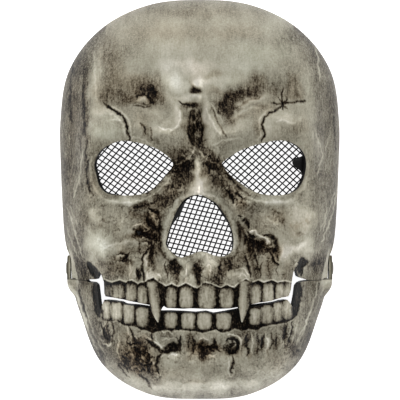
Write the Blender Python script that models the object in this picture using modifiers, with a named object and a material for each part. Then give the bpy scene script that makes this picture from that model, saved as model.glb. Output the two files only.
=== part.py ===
"""Skull face mask with a hinged jaw, lying face up on its rim.

X is the wearer's left-right line, Y runs from chin to crown and Z out through the face.
Two moulded shells, three net panels, one glue tab and two rivets. Sizes are in millimetres
and become metres where a mesh is made.
"""

import math

import bmesh
import bpy
import numpy as np
from mathutils import Matrix, Vector

MM = 0.001

# Moulding
WALL = 2.0
COLUMNS = 64
RINGS = 15
GRID_MIDDLE = -18.0
GRID_START = 0.05
RIM_SKIRT = 4.0

# How far the cutters reach past the mask
SIDE_REACH = 130.0
FRONT_TOP = 140.0

# Outline seen from the front, one row for each turn from the chin (-90) to the crown (90).
# reach is the distance from the middle of the mask to the rim, fullness squares the section.
OUTLINE = [
    {"turn": -90, "reach": 125.0, "fullness": 6.0},
    {"turn": -75, "reach": 126.0, "fullness": 5.2},
    {"turn": -60, "reach": 120.3, "fullness": 3.8},
    {"turn": -45, "reach": 104.6, "fullness": 2.9},
    {"turn": -37, "reach": 98.4, "fullness": 2.8},
    {"turn": -30, "reach": 93.2, "fullness": 2.8},
    {"turn": -15, "reach": 87.7, "fullness": 2.9},
    {"turn": 0, "reach": 86.2, "fullness": 3.1},
    {"turn": 15, "reach": 90.2, "fullness": 3.3},
    {"turn": 30, "reach": 100.7, "fullness": 3.3},
    {"turn": 45, "reach": 115.2, "fullness": 3.0},
    {"turn": 60, "reach": 123.3, "fullness": 2.8},
    {"turn": 75, "reach": 125.8, "fullness": 2.6},
    {"turn": 90, "reach": 125.0, "fullness": 2.6},
]

# How far the plain form stands off the rim plane, from chin to crown
DEPTHS = [
    {"y": -125, "depth": 86.0},
    {"y": -105, "depth": 91.0},
    {"y": -80, "depth": 91.0},
    {"y": -50, "depth": 93.0},
    {"y": -20, "depth": 94.0},
    {"y": 10, "depth": 95.0},
    {"y": 35, "depth": 97.0},
    {"y": 65, "depth": 95.0},
    {"y": 95, "depth": 90.0},
    {"y": 125, "depth": 84.0},
]

# Swellings and hollows added to the plain form. Both sides get a row whose x isn't 0.
# edge 2 is a soft swelling, 4 has a flatter top and a steeper edge.
FORMS = [
    {"form": "muzzle", "x": 0, "y": -60, "wide": 52, "high": 27, "tilt": 0, "rise": 11.0, "edge": 5},
    {"form": "cheekbone", "x": 57, "y": -24, "wide": 15, "high": 18, "tilt": 30, "rise": 10.0, "edge": 3},
    {"form": "cheek_arch", "x": 72, "y": -12, "wide": 12, "high": 9, "tilt": -20, "rise": 6.0, "edge": 2},
    {"form": "under_cheek", "x": 66, "y": -50, "wide": 9, "high": 13, "tilt": 0, "rise": -9.0, "edge": 2},
    {"form": "canine_hollow", "x": 30, "y": -24, "wide": 8, "high": 16, "tilt": 20, "rise": -5.0, "edge": 2},
    {"form": "brow_inner", "x": 22, "y": 39, "wide": 15, "high": 8, "tilt": 24, "rise": 6.0, "edge": 2},
    {"form": "brow_outer", "x": 49, "y": 43, "wide": 17, "high": 8, "tilt": -8, "rise": 5.0, "edge": 2},
    {"form": "brow_corner", "x": 67, "y": 28, "wide": 7, "high": 14, "tilt": 0, "rise": 5.0, "edge": 2},
    {"form": "frown_fold", "x": 11, "y": 47, "wide": 7, "high": 16, "tilt": 0, "rise": 4.0, "edge": 2},
    {"form": "brow_dip", "x": 33, "y": 62, "wide": 20, "high": 9, "tilt": 0, "rise": -3.0, "edge": 2},
    {"form": "forehead_boss", "x": 30, "y": 84, "wide": 24, "high": 17, "tilt": 0, "rise": 3.0, "edge": 2},
    {"form": "temple", "x": 78, "y": 38, "wide": 9, "high": 32, "tilt": 0, "rise": -10.0, "edge": 2},
    {"form": "inner_eye", "x": 20, "y": 13, "wide": 10, "high": 14, "tilt": -30, "rise": -7.0, "edge": 2},
    {"form": "furrow", "x": 0, "y": 46, "wide": 4, "high": 19, "tilt": 0, "rise": -4.5, "edge": 2},
    {"form": "nose_bridge", "x": 0, "y": 14, "wide": 8, "high": 17, "tilt": 0, "rise": 7.0, "edge": 2},
    {"form": "eye_floor", "x": 43, "y": -2, "wide": 22, "high": 5, "tilt": 4, "rise": 3.0, "edge": 2},
    {"form": "chin", "x": 0, "y": -105, "wide": 34, "high": 14, "tilt": 0, "rise": 8.0, "edge": 3},
    {"form": "jaw_corner", "x": 52, "y": -88, "wide": 14, "high": 14, "tilt": 30, "rise": 4.0, "edge": 2},
    {"form": "lip_hollow", "x": 0, "y": -88, "wide": 38, "high": 6, "tilt": 0, "rise": -3.0, "edge": 3},
]
NOSE_RIM = {"rise": 3.0, "width": 4.0}
# The upper shell's own swelling carries the fangs clear of the lower teeth
SKULL_FORMS = FORMS + [
    {"form": "fang_lift", "x": 25.5, "y": -71, "wide": 7, "high": 10, "tilt": 0, "rise": 2.6, "edge": 2},
]
# The jaw's own hollow: its teeth sit behind the upper ones
JAW_FORMS = FORMS + [
    {"form": "underbite", "x": 0, "y": -70, "wide": 47, "high": 9, "tilt": 0, "rise": -5.5, "edge": 4},
]

# Openings, seen from the front. The eye is the one at +X and the nose the half at +X.
EYE_LEFT = [
    (-15.9, 21.5), (-24.9, 29.3), (-36.8, 33.3), (-47.6, 34.2), (-58.0, 29.6), (-62.6, 22.0), (-62.0, 15.5),
    (-59.0, 6.6), (-52.4, 2.6), (-37.0, 2.4), (-27.9, 6.0), (-20.1, 13.7),
]
EYE_RIGHT = [
    (14.0, 22.0), (25.3, 29.2), (39.0, 33.4), (49.7, 34.6), (58.7, 31.2), (63.0, 24.5), (63.0, 15.5),
    (58.9, 6.6), (49.7, 2.4), (34.8, 3.4), (22.3, 10.7), (14.6, 18.4),
]
NOSE = [
    (0.0, 2.4), (6.4, -0.4), (10.4, -3.2), (16.4, -12.0), (19.8, -21.4), (19.2, -30.4), (14.2, -33.8),
    (8.4, -33.2), (3.8, -31.4), (-0.4, -31.0), (-6.3, -33.2), (-12.2, -34.2), (-19.2, -28.6), (-19.4, -22.8),
    (-14.0, -7.8), (-8.1, 0.4),
]

# Teeth from one side of the mouth to the other: x at the middle, width, gum end and biting end
UPPER_TEETH = [
    {"x": -54.5, "width": 4.0, "gum": -48.0, "tip": -57.0},
    {"x": -48.6, "width": 7.4, "gum": -48.8, "tip": -58.0},
    {"x": -40.6, "width": 6.8, "gum": -49.0, "tip": -60.6},
    {"x": -33.6, "width": 5.8, "gum": -50.0, "tip": -62.0},
    {"x": -16.6, "width": 6.2, "gum": -52.6, "tip": -64.2},
    {"x": -8.2, "width": 8.2, "gum": -52.2, "tip": -65.0},
    {"x": 3.6, "width": 9.6, "gum": -51.0, "tip": -64.8},
    {"x": 15.6, "width": 8.0, "gum": -51.8, "tip": -64.6},
    {"x": 33.4, "width": 5.4, "gum": -50.0, "tip": -62.4},
    {"x": 40.0, "width": 6.6, "gum": -48.8, "tip": -60.4},
    {"x": 46.9, "width": 5.2, "gum": -48.6, "tip": -58.0},
    {"x": 53.0, "width": 5.0, "gum": -48.0, "tip": -57.0},
]
LOWER_TEETH = [
    {"x": -54.8, "width": 4.8, "gum": -71.0, "tip": -59.8},
    {"x": -49.0, "width": 6.4, "gum": -71.8, "tip": -60.6},
    {"x": -41.8, "width": 6.8, "gum": -74.0, "tip": -62.8},
    {"x": -34.0, "width": 6.8, "gum": -76.0, "tip": -64.8},
    {"x": -25.4, "width": 6.4, "gum": -77.0, "tip": -66.6},
    {"x": -17.0, "width": 6.6, "gum": -77.0, "tip": -67.4},
    {"x": -7.6, "width": 8.0, "gum": -77.6, "tip": -67.6},
    {"x": 3.0, "width": 8.0, "gum": -77.4, "tip": -67.6},
    {"x": 14.2, "width": 8.0, "gum": -77.2, "tip": -67.4},
    {"x": 24.8, "width": 6.4, "gum": -77.0, "tip": -66.6},
    {"x": 32.9, "width": 6.2, "gum": -75.6, "tip": -64.2},
    {"x": 39.7, "width": 5.8, "gum": -74.4, "tip": -62.8},
    {"x": 46.3, "width": 5.4, "gum": -72.0, "tip": -61.0},
    {"x": 52.2, "width": 5.0, "gum": -70.8, "tip": -59.6},
]
FANG = {"x": 26.2, "gum": -46.0, "tip_x": 24.9, "tip": -74.0, "width": 7.4, "stand_off": 0.6}
TOOTH_DEPTH = 1.7

# Lower edge of the upper shell, seen from the front, from one side wall to the other.
# It rises in a slit at each corner of the mouth, and its two long points are the fangs.
PARTING = [
    (-110.0, -48.6), (-70.0, -48.6), (-62.8, -48.6), (-61.6, -45.0), (-60.4, -42.6), (-58.8, -46.3),
    (-58.0, -49.8), (-57.2, -55.6), (-56.6, -58.4), (-51.0, -59.6), (-44.4, -60.8), (-38.0, -62.2),
    (-31.0, -62.8), (-28.6, -60.5), (-26.0, -69.0), (-25.0, -73.0), (-24.0, -73.0), (-23.2, -68.0),
    (-22.4, -60.5), (-20.8, -64.6), (-10.0, -65.4), (0.0, -65.6), (10.0, -65.2), (20.4, -64.4),
    (22.2, -60.5), (23.0, -68.0), (23.8, -73.0), (24.8, -73.0), (26.0, -68.5), (28.4, -60.5),
    (30.2, -62.2), (38.0, -61.4), (46.0, -59.4), (51.0, -57.8), (54.4, -57.0), (55.3, -52.8),
    (55.7, -45.0), (57.4, -41.4), (58.5, -45.1), (59.8, -48.6), (70.0, -48.6), (110.0, -48.6),
]
# Upper edge of the jaw shell, the same way, with a slit beside the last tooth
JAW_EDGE = [
    (-110.0, -49.8), (-70.0, -49.8), (-66.0, -50.6), (-62.9, -51.2), (-61.9, -53.4), (-61.0, -64.1),
    (-59.7, -71.6), (-58.3, -66.0), (-57.6, -61.4), (-50.0, -61.6), (-44.4, -62.6), (-35.3, -64.8),
    (-29.3, -65.8), (-23.4, -67.2), (-12.0, -68.0), (0.0, -68.2), (12.0, -68.0), (19.6, -67.2),
    (29.1, -65.2), (38.0, -63.6), (46.0, -61.6), (53.4, -59.4), (54.6, -61.6), (55.7, -65.6),
    (57.4, -61.0), (58.4, -56.7), (59.6, -51.8), (62.6, -50.5), (70.0, -49.8), (110.0, -49.8),
]

# Jaw hinge: its axis runs along X. The jaw's ears lie outside the upper shell's side walls.
HINGE_Y = -43.0
HINGE_Z = 14.0
SIDE_CUT_Z = 32.0
LUG_RADIUS = 7.5
LUG_EDGE_Y = -48.6
LUG_OUTER_X = 79.2
EAR_RADIUS = 8.0
EAR_EDGE_Y = -49.8
EAR_REAR_Y = -55.0
EAR_OUTER_X = 82.2
PAD_RADIUS = 10.0
PAD_FADE = 9.0
RIVET_RADIUS = 2.0
RIVET_HOLE_RADIUS = 2.3
RIVET_HEAD_RADIUS = 3.8
RIVET_HEAD_HEIGHT = 0.8
RIVET_GAP = 0.35

# Net panels
NET_THICKNESS = 0.9
NET_SEAT_GAPS = {"left": 2.2, "right": 2.2, "nose": 3.0}
NET_OVERLAP = 4.3
NET_FACET = 9.0
NET_CELL = 7.2
NET_BAR = 1.7

# Glue tab inside the outer corner of the right eye
PATCH = {"x": 62.5, "y": 21.0, "wide": 5.0, "high": 17.0, "thickness": 1.2, "seat_gap": 1.6}

BONE_PAINT = {"colour": (0.43, 0.41, 0.35, 1.0), "roughness": 0.42, "metallic": 0.35}
BLACK_NET = {"colour": (0.012, 0.012, 0.013, 1.0), "roughness": 0.5, "metallic": 0.1}
BLACK_GLUE = {"colour": (0.008, 0.008, 0.008, 1.0), "roughness": 0.35, "metallic": 0.0}
STEEL = {"colour": (0.33, 0.32, 0.30, 1.0), "roughness": 0.3, "metallic": 0.9}


def smooth_through(rows, key, column, at):
    """A curve with no kinks through a table's rows: cubic pieces whose slopes look one row each way."""
    xs = np.array([row[key] for row in rows], float)
    ys = np.array([row[column] for row in rows], float)
    slopes = np.gradient(ys, xs)
    slopes[0] = slopes[-1] = 0.0
    at = np.clip(at, xs[0], xs[-1])
    i = np.clip(np.searchsorted(xs, at) - 1, 0, len(xs) - 2)
    span = xs[i + 1] - xs[i]
    t = (at - xs[i]) / span
    stay = (1 + 2 * t) * (1 - t) ** 2
    lean = t * (1 - t) ** 2
    return (
        stay * ys[i]
        + lean * span * slopes[i]
        + (1 - stay) * ys[i + 1]
        - t * t * (1 - t) * span * slopes[i + 1]
    )


def closed_curve(points, per_span=6):
    """Points along a closed curve that passes through the given ones (Catmull-Rom)."""
    p = np.array(points, float)
    before, after, further = np.roll(p, 1, 0), np.roll(p, -1, 0), np.roll(p, -2, 0)
    made = []
    for t in np.arange(per_span) / per_span:
        made.append(
            0.5
            * (
                2 * p
                + (after - before) * t
                + (2 * before - 5 * p + 4 * after - further) * t**2
                + (3 * p - before - 3 * after + further) * t**3
            )
        )
    return np.stack(made, 1).reshape(-1, 2)


def distance_to(outline, x, y):
    """How far each (x, y) lies from a closed outline of straight pieces."""
    start = np.asarray(outline)
    step = np.roll(start, -1, 0) - start
    best = np.full(np.shape(x), 1e9)
    for (ax, ay), (dx, dy) in zip(start, step):
        t = np.clip(((x - ax) * dx + (y - ay) * dy) / (dx * dx + dy * dy), 0, 1)
        best = np.minimum(best, np.hypot(x - ax - t * dx, y - ay - t * dy))
    return best


def grown(outline, by):
    """The outline moved outwards by a distance."""
    p = np.asarray(outline)
    along = np.roll(p, -1, 0) - np.roll(p, 1, 0)
    out = np.stack([along[:, 1], -along[:, 0]], 1)
    out /= np.linalg.norm(out, axis=1)[:, None]
    area = np.sum(p[:, 0] * np.roll(p[:, 1], -1) - p[:, 1] * np.roll(p[:, 0], -1))
    return p + out * by * (1 if area > 0 else -1)


EYES = {"left": closed_curve(EYE_LEFT, 3), "right": closed_curve(EYE_RIGHT, 3)}
NOSE_OUTLINE = closed_curve(NOSE, 2)


def reach_and_fullness(x, y):
    """The outline's reach, and how square the section is, in the direction of (x, y)."""
    turn = np.degrees(np.arctan2(y, np.abs(x)))
    return (
        smooth_through(OUTLINE, "turn", "reach", turn),
        smooth_through(OUTLINE, "turn", "fullness", turn),
    )


def swelling(row, x, y):
    """One swelling or hollow of FORMS, on both sides of the face."""
    tilt = math.radians(row["tilt"])
    across, up = np.abs(x) - row["x"], y - row["y"]
    along = (across * math.cos(tilt) + up * math.sin(tilt)) / row["wide"]
    over = (up * math.cos(tilt) - across * math.sin(tilt)) / row["high"]
    return row["rise"] * np.exp(-((along**2 + over**2) ** (row["edge"] / 2)))


def face_height(x, y, rows=FORMS):
    """Height of the mask's outer face over the rim plane, at a place seen from the front."""
    x, y = np.asarray(x, float), np.asarray(y, float)
    reach, fullness = reach_and_fullness(x, y)
    out = np.clip(np.hypot(x, y) / reach, 0, 1)
    front = np.sqrt(1 - out**fullness)
    relief = sum(swelling(row, x, y) for row in rows)
    rim = distance_to(NOSE_OUTLINE, x, y) / NOSE_RIM["width"]
    relief = relief + NOSE_RIM["rise"] * np.exp(-(rim**2))
    return front * smooth_through(DEPTHS, "y", "depth", y) + relief * np.clip(1.6 * front, 0, 1)


def face_slope(x, y, rows=FORMS, step=1.0):
    """The outward unit normal of the outer face at (x, y)."""
    dx = (face_height(x + step, y, rows) - face_height(x - step, y, rows)) / (2 * step)
    dy = (face_height(x, y + step, rows) - face_height(x, y - step, rows)) / (2 * step)
    return Vector((-dx, -dy, 1.0)).normalized()


# Blender helpers


def clear_scene():
    for obj in list(bpy.data.objects):
        bpy.data.objects.remove(obj, do_unlink=True)


def collection(name):
    made = bpy.data.collections.new(name)
    bpy.context.scene.collection.children.link(made)
    return made


def material(name, look):
    made = bpy.data.materials.new(name)
    made.use_nodes = True
    shader = made.node_tree.nodes["Principled BSDF"]
    shader.inputs["Base Color"].default_value = look["colour"]
    shader.inputs["Roughness"].default_value = look["roughness"]
    shader.inputs["Metallic"].default_value = look["metallic"]
    return made


def mesh_object(name, bm, where, look=None):
    """Turns a bmesh in millimetres into an object in metres, with smooth shading."""
    for face in bm.faces:
        face.smooth = True
    bmesh.ops.scale(bm, vec=(MM, MM, MM), verts=bm.verts)
    mesh = bpy.data.meshes.new(name)
    bm.to_mesh(mesh)
    bm.free()
    if look:
        mesh.materials.append(look)
    obj = bpy.data.objects.new(name, mesh)
    where.objects.link(obj)
    return obj


def prism(name, outline, low, high, where):
    """A flat outline seen from the front, as a solid from one height to another: a cutter."""
    bm = bmesh.new()
    corners = [bm.verts.new((x, y, low)) for x, y in outline]
    face = bm.faces.new(corners)
    made = bmesh.ops.extrude_face_region(bm, geom=[face])
    lifted = [v for v in made["geom"] if isinstance(v, bmesh.types.BMVert)]
    bmesh.ops.translate(bm, vec=(0, 0, high - low), verts=lifted)
    bmesh.ops.recalc_face_normals(bm, faces=bm.faces)
    return helper(mesh_object(name, bm, where))


def side_prism(name, outline, where):
    """A flat (y, z) outline seen from the side, as a bar right through the mask: a cutter."""
    bm = bmesh.new()
    corners = [bm.verts.new((-SIDE_REACH, y, z)) for y, z in outline]
    made = bmesh.ops.extrude_face_region(bm, geom=[bm.faces.new(corners)])
    lifted = [v for v in made["geom"] if isinstance(v, bmesh.types.BMVert)]
    bmesh.ops.translate(bm, vec=(2 * SIDE_REACH, 0, 0), verts=lifted)
    bmesh.ops.recalc_face_normals(bm, faces=bm.faces)
    return helper(mesh_object(name, bm, where))


def rod(name, radius, reach, where):
    """A round bar on the hinge's axis, right through the mask: a cutter."""
    bm = bmesh.new()
    bmesh.ops.create_cone(
        bm, cap_ends=True, segments=14, radius1=radius, radius2=radius, depth=2 * reach
    )
    bmesh.ops.rotate(bm, matrix=Matrix.Rotation(math.pi / 2, 3, "Y"), verts=bm.verts)
    bmesh.ops.translate(bm, vec=(0, HINGE_Y, HINGE_Z), verts=bm.verts)
    return helper(mesh_object(name, bm, where))


def helper(obj):
    obj.hide_render = True
    obj.display_type = "WIRE"
    return obj


def boolean(obj, others, operation):
    """One Boolean with several cutters at once, or with one."""
    group = bpy.data.collections.new(obj.name + "_" + operation.lower())
    for other in others:
        group.objects.link(other)
    made = obj.modifiers.new(operation.lower(), "BOOLEAN")
    made.operation = operation
    made.operand_type = "COLLECTION"
    made.collection = group
    made.solver = "EXACT"
    return made


# The moulded face


def column_turns():
    """Where the grid's columns point, closer together at the hinges and the mouth."""
    turns = np.linspace(-math.pi, math.pi, 721)
    hinge_turn = math.atan2(HINGE_Y - GRID_MIDDLE, EAR_OUTER_X)
    density = 1.0 + 0.7 * np.exp(-((np.abs(turns + math.pi / 2) / 0.8) ** 4))
    for side in (hinge_turn, -math.pi - hinge_turn):
        density += 1.6 * np.exp(-(((turns - side) / 0.16) ** 2))
    share = np.concatenate([[0], np.cumsum((density[1:] + density[:-1]) / 2)])
    return np.interp(np.linspace(0, share[-1], COLUMNS + 1), share, turns)


def rim_point(turn):
    """Where a ray from the grid's middle meets the outline."""
    far = np.full(np.shape(turn), 60.0)
    for _ in range(30):
        x, y = far * np.cos(turn), GRID_MIDDLE + far * np.sin(turn)
        far *= reach_and_fullness(x, y)[0] / np.hypot(x, y)
    return far * np.cos(turn), GRID_MIDDLE + far * np.sin(turn)


def flattened_at_hinge(x, y, z, level):
    """Brings the side wall to a flat face around each hinge."""
    away = np.hypot(y - HINGE_Y, z - HINGE_Z)
    t = np.clip((away - PAD_RADIUS) / PAD_FADE, 0, 1)
    share = 1 - t * t * (3 - 2 * t)
    return np.sign(x) * (np.abs(x) * (1 - share) + level * share)


def moulded_face(name, where, look, rows, pad_level):
    """The whole face as one shell: rings around the nose that widen to the rim.
    A last ring runs straight down past the rim plane, for the flat rim to be cut there."""
    bm = bmesh.new()
    bmesh.ops.create_grid(bm, x_segments=COLUMNS, y_segments=RINGS + 1, size=0.5)
    at = np.array([v.co[:] for v in bm.verts])
    column = np.rint((at[:, 0] + 0.5) * COLUMNS).astype(int)
    ring = np.rint((at[:, 1] + 0.5) * (RINGS + 1)).astype(int)
    rim_x, rim_y = rim_point(column_turns()[column])
    share = GRID_START + (1 - GRID_START) * np.minimum(ring / RINGS, 1.0)
    share = np.sin(share * math.pi / 2)
    x = rim_x * share
    y = GRID_MIDDLE + (rim_y - GRID_MIDDLE) * share
    z = np.where(ring > RINGS, -RIM_SKIRT, face_height(x, y, rows))
    x = flattened_at_hinge(x, y, z, pad_level)
    for vert, *place in zip(bm.verts, x, y, z):
        vert.co = place
    bmesh.ops.remove_doubles(bm, verts=bm.verts, dist=0.01)
    bmesh.ops.recalc_face_normals(bm, faces=bm.faces)
    if sum(f.normal.z for f in bm.faces) < 0:
        bmesh.ops.reverse_faces(bm, faces=bm.faces)
    obj = mesh_object(name, bm, where, look)
    wall = obj.modifiers.new("wall", "SOLIDIFY")
    wall.thickness = WALL * MM
    wall.offset = -1
    wall.use_even_offset = True
    wall.use_quality_normals = True
    return obj


def front_piece(edge, far_y):
    """Everything on one side of a parting edge, as a front outline out to far_y."""
    return edge + [(edge[-1][0], far_y), (edge[0][0], far_y)]


def arc(radius, first, last, count=9):
    """(y, z) points around the hinge's axis, angles counted from +Y towards +Z."""
    turns = np.linspace(first, last, count)
    return [(HINGE_Y + radius * math.cos(t), HINGE_Z + radius * math.sin(t)) for t in turns]


def lug_side():
    """What the upper shell's side wall loses: all below its edge but the round end of the lug,
    and the corner behind the lug that the jaw's ear turns into."""
    half = math.acos((LUG_EDGE_Y - HINGE_Y) / LUG_RADIUS)
    top = SIDE_CUT_Z + 1.0
    bump = arc(LUG_RADIUS, half, 1.5 * math.pi)
    return [(-SIDE_REACH, top), (LUG_EDGE_Y, top)] + bump + [(HINGE_Y, -20.0), (-SIDE_REACH, -20.0)]


def ear_side():
    """What the jaw's side wall loses: all above its edge but the ear, a tab with a round end."""
    top = SIDE_CUT_Z + 1.0
    front, rear = HINGE_Z + EAR_RADIUS, HINGE_Z - EAR_RADIUS
    tab = [(EAR_EDGE_Y, front)] + arc(EAR_RADIUS, math.pi / 2, -math.pi / 2) + [(EAR_EDGE_Y, rear)]
    ends = [(EAR_REAR_Y, 0.0), (EAR_REAR_Y, -20.0), (SIDE_REACH, -20.0), (SIDE_REACH, top)]
    return [(EAR_EDGE_Y, top)] + tab + ends


def tooth(bm, row, rows):
    """One rounded tooth, turned to face out of the arch and sunk to its middle in the wall."""
    middle = (row["gum"] + row["tip"]) / 2
    normal = face_slope(row["x"], middle, rows)
    turn = math.atan2(normal.x, normal.z)
    made = bmesh.ops.create_uvsphere(bm, u_segments=6, v_segments=4, radius=1.0)["verts"]
    for vert in made:
        x, y, z = (math.copysign(abs(c) ** 0.6, c) for c in (vert.co.x, vert.co.z, vert.co.y))
        vert.co = (x, y, z)
    wide = 0.47 * row["width"] / math.cos(turn)
    tall = abs(row["gum"] - row["tip"]) / 2
    bmesh.ops.scale(bm, vec=(wide, tall, TOOTH_DEPTH), verts=made)
    bmesh.ops.rotate(bm, matrix=Matrix.Rotation(turn, 3, "Y"), verts=made)
    height = float(face_height(row["x"], middle, rows))
    bmesh.ops.translate(bm, vec=(row["x"], middle, height), verts=made)


def teeth(name, table, rows, where):
    bm = bmesh.new()
    for row in table:
        tooth(bm, row, rows)
    bmesh.ops.recalc_face_normals(bm, faces=bm.faces)
    return helper(mesh_object(name, bm, where))


def fangs(name, where):
    """Two long teeth that hang in front of the lower row."""
    bm = bmesh.new()
    length = FANG["gum"] - FANG["tip"]
    root = float(face_height(FANG["x"], FANG["gum"] - 8, SKULL_FORMS))
    for side in (-1, 1):
        made = bmesh.ops.create_cone(
            bm, cap_ends=True, segments=8, radius1=0.5, radius2=FANG["width"] / 2, depth=length
        )["verts"]
        bmesh.ops.rotate(bm, matrix=Matrix.Rotation(-math.pi / 2, 3, "X"), verts=made)
        for vert in made:
            down = 0.5 - vert.co.y / length
            vert.co.x += side * (FANG["x"] + (FANG["tip_x"] - FANG["x"]) * down)
            vert.co.y += (FANG["gum"] + FANG["tip"]) / 2
            vert.co.z = 0.7 * vert.co.z + root + FANG["stand_off"] * down
    bmesh.ops.recalc_face_normals(bm, faces=bm.faces)
    return helper(mesh_object(name, bm, where))


# The nets


def net_panel(name, opening, turn, seat_gap, where, cutters, look):
    """A net that follows the shell's inner side behind an opening, cut through in square gaps."""
    outline = grown(opening, NET_OVERLAP)
    panel = sheet_behind(name, outline, NET_FACET, seat_gap, NET_THICKNESS, where, look)
    edge = prism(name + "_edge", [tuple(p) for p in outline[::2]], 20.0, FRONT_TOP, cutters)
    boolean(edge, [net_gaps(name + "_gaps", opening, turn, cutters)], "DIFFERENCE")
    boolean(panel, [edge], "INTERSECT")
    return panel


def sheet_behind(name, outline, facet, seat_gap, thickness, where, look):
    """A thin sheet that follows the shell's inner side, as wide and high as an outline."""
    low, high = outline.min(0) - 1, outline.max(0) + 1
    steps = np.ceil((high - low) / facet).astype(int)
    bm = bmesh.new()
    bmesh.ops.create_grid(bm, x_segments=int(steps[0]), y_segments=int(steps[1]), size=0.5)
    for vert in bm.verts:
        x, y = (low + (high - low) * (np.array(vert.co.xy) + 0.5)).tolist()
        place = Vector((x, y, float(face_height(x, y))))
        vert.co = place - face_slope(x, y, step=4.0) * (WALL + seat_gap)
    sheet = mesh_object(name, bm, where, look)
    wall = sheet.modifiers.new("thickness", "SOLIDIFY")
    wall.thickness = thickness * MM
    wall.offset = -1
    return sheet


def net_gaps(name, opening, turn, where):
    """Square bars in rows turned by an angle, one for each gap whose middle is in the opening."""
    middle = Vector(((opening.min(0) + opening.max(0)) / 2).tolist()) + Vector((0.31, 0.17))
    across = Vector((math.cos(turn), math.sin(turn)))
    up = Vector((-across.y, across.x))
    bm = bmesh.new()
    for i in range(-9, 10):
        for j in range(-9, 10):
            place = middle + across * (i * NET_CELL) + up * (j * NET_CELL)
            if not holds(opening, place):
                continue
            made = bmesh.ops.create_cube(bm, size=1.0)["verts"]
            gap = NET_CELL - NET_BAR
            bmesh.ops.scale(bm, vec=(gap, gap, 120.0), verts=made)
            bmesh.ops.rotate(bm, matrix=Matrix.Rotation(turn, 3, "Z"), verts=made)
            bmesh.ops.translate(bm, vec=(place.x, place.y, 80.0), verts=made)
    return helper(mesh_object(name, bm, where))


def holds(outline, place):
    """Whether a place lies inside a closed outline."""
    ax, ay = outline[:, 0], outline[:, 1]
    bx, by = np.roll(ax, -1), np.roll(ay, -1)
    crosses = (ay > place[1]) != (by > place[1])
    where = ax + (place[1] - ay) * (bx - ax) / np.where(crosses, by - ay, 1.0)
    return int(np.sum(crosses & (place[0] < where))) % 2 == 1


def glue_tab(name, where, look):
    """A short black tab over the net's edge, behind the outer corner of the right eye."""
    half = np.array([PATCH["wide"], PATCH["high"]]) / 2
    middle = np.array([PATCH["x"], PATCH["y"]])
    corners = np.array([[-1, -1], [1, -1], [1, 1], [-1, 1]]) * (half - 1) + middle
    gap = NET_SEAT_GAPS["right"] + NET_THICKNESS + PATCH["seat_gap"]
    return sheet_behind(name, corners, 6.0, gap, PATCH["thickness"], where, look)


def rivet(name, side, where, look):
    """A plain pin through ear and lug with a flat head at each end, turned as one profile."""
    inner = LUG_OUTER_X - WALL - RIVET_GAP
    outer = EAR_OUTER_X + RIVET_GAP
    profile = [
        (inner - RIVET_HEAD_HEIGHT, RIVET_HEAD_RADIUS), (inner, RIVET_HEAD_RADIUS), (inner, RIVET_RADIUS),
        (outer, RIVET_RADIUS), (outer, RIVET_HEAD_RADIUS), (outer + RIVET_HEAD_HEIGHT, RIVET_HEAD_RADIUS - 0.4),
    ]
    bm = bmesh.new()
    ring = [bm.verts.new((x, radius, 0.0)) for x, radius in profile]
    edges = [bm.edges.new(pair) for pair in zip(ring, ring[1:])]
    bmesh.ops.spin(
        bm, geom=ring + edges, cent=(0, 0, 0), axis=(1, 0, 0), angle=2 * math.pi, steps=12, use_merge=True
    )
    bmesh.ops.holes_fill(bm, edges=[e for e in bm.edges if e.is_boundary], sides=0)
    bmesh.ops.scale(bm, vec=(side, 1, 1), verts=bm.verts)
    bmesh.ops.translate(bm, vec=(0, HINGE_Y, HINGE_Z), verts=bm.verts)
    bmesh.ops.recalc_face_normals(bm, faces=bm.faces)
    return mesh_object(name, bm, where, look)


def build():
    clear_scene()
    mask = collection("skull_mask")
    cutters = collection("cutters")
    skull = moulded_face("skull_shell", mask, material("bone_paint", BONE_PAINT), SKULL_FORMS, LUG_OUTER_X)
    jaw = moulded_face("jaw_shell", mask, material("jaw_paint", BONE_PAINT), JAW_FORMS, EAR_OUTER_X)
    floor = [(-SIDE_REACH, -160), (SIDE_REACH, -160), (SIDE_REACH, 160), (-SIDE_REACH, 160)]
    floor_cut = prism("floor_cut", floor, -20.0, 0.0, cutters)
    pin_hole = rod("pin_hole", RIVET_HOLE_RADIUS, SIDE_REACH, cutters)
    below = prism("below_skull", front_piece(PARTING, -150.0), SIDE_CUT_Z, FRONT_TOP, cutters)
    above = prism("above_jaw", front_piece(JAW_EDGE, 150.0), SIDE_CUT_Z, FRONT_TOP, cutters)
    below_lug = side_prism("below_lug", lug_side(), cutters)
    above_ear = side_prism("above_ear", ear_side(), cutters)
    holes = [prism("nose", [tuple(p) for p in NOSE_OUTLINE], 20.0, FRONT_TOP, cutters)]
    for side, outline in EYES.items():
        holes.append(prism("eye_" + side, [tuple(p) for p in outline], 20.0, FRONT_TOP, cutters))
    upper_row = teeth("upper_teeth", UPPER_TEETH, SKULL_FORMS, cutters)
    lower_row = teeth("lower_teeth", LOWER_TEETH, JAW_FORMS, cutters)
    boolean(skull, [upper_row, fangs("fangs", cutters)], "UNION")
    boolean(skull, [floor_cut, below, below_lug, pin_hole] + holes, "DIFFERENCE")
    boolean(jaw, [lower_row], "UNION")
    boolean(jaw, [floor_cut, above, above_ear, pin_hole], "DIFFERENCE")
    for side, outline in EYES.items():
        look = material("eye_net_" + side, BLACK_NET)
        net_panel("eye_net_" + side, outline, math.pi / 4, NET_SEAT_GAPS[side], mask, cutters, look)
    look = material("nose_net", BLACK_NET)
    net_panel("nose_net", NOSE_OUTLINE, math.radians(-16), NET_SEAT_GAPS["nose"], mask, cutters, look)
    glue_tab("net_patch", mask, material("net_patch", BLACK_GLUE))
    for side, name in ((-1, "left"), (1, "right")):
        rivet("rivet_" + name, side, mask, material("rivet_" + name, STEEL))


build()
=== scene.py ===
import math

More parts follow.
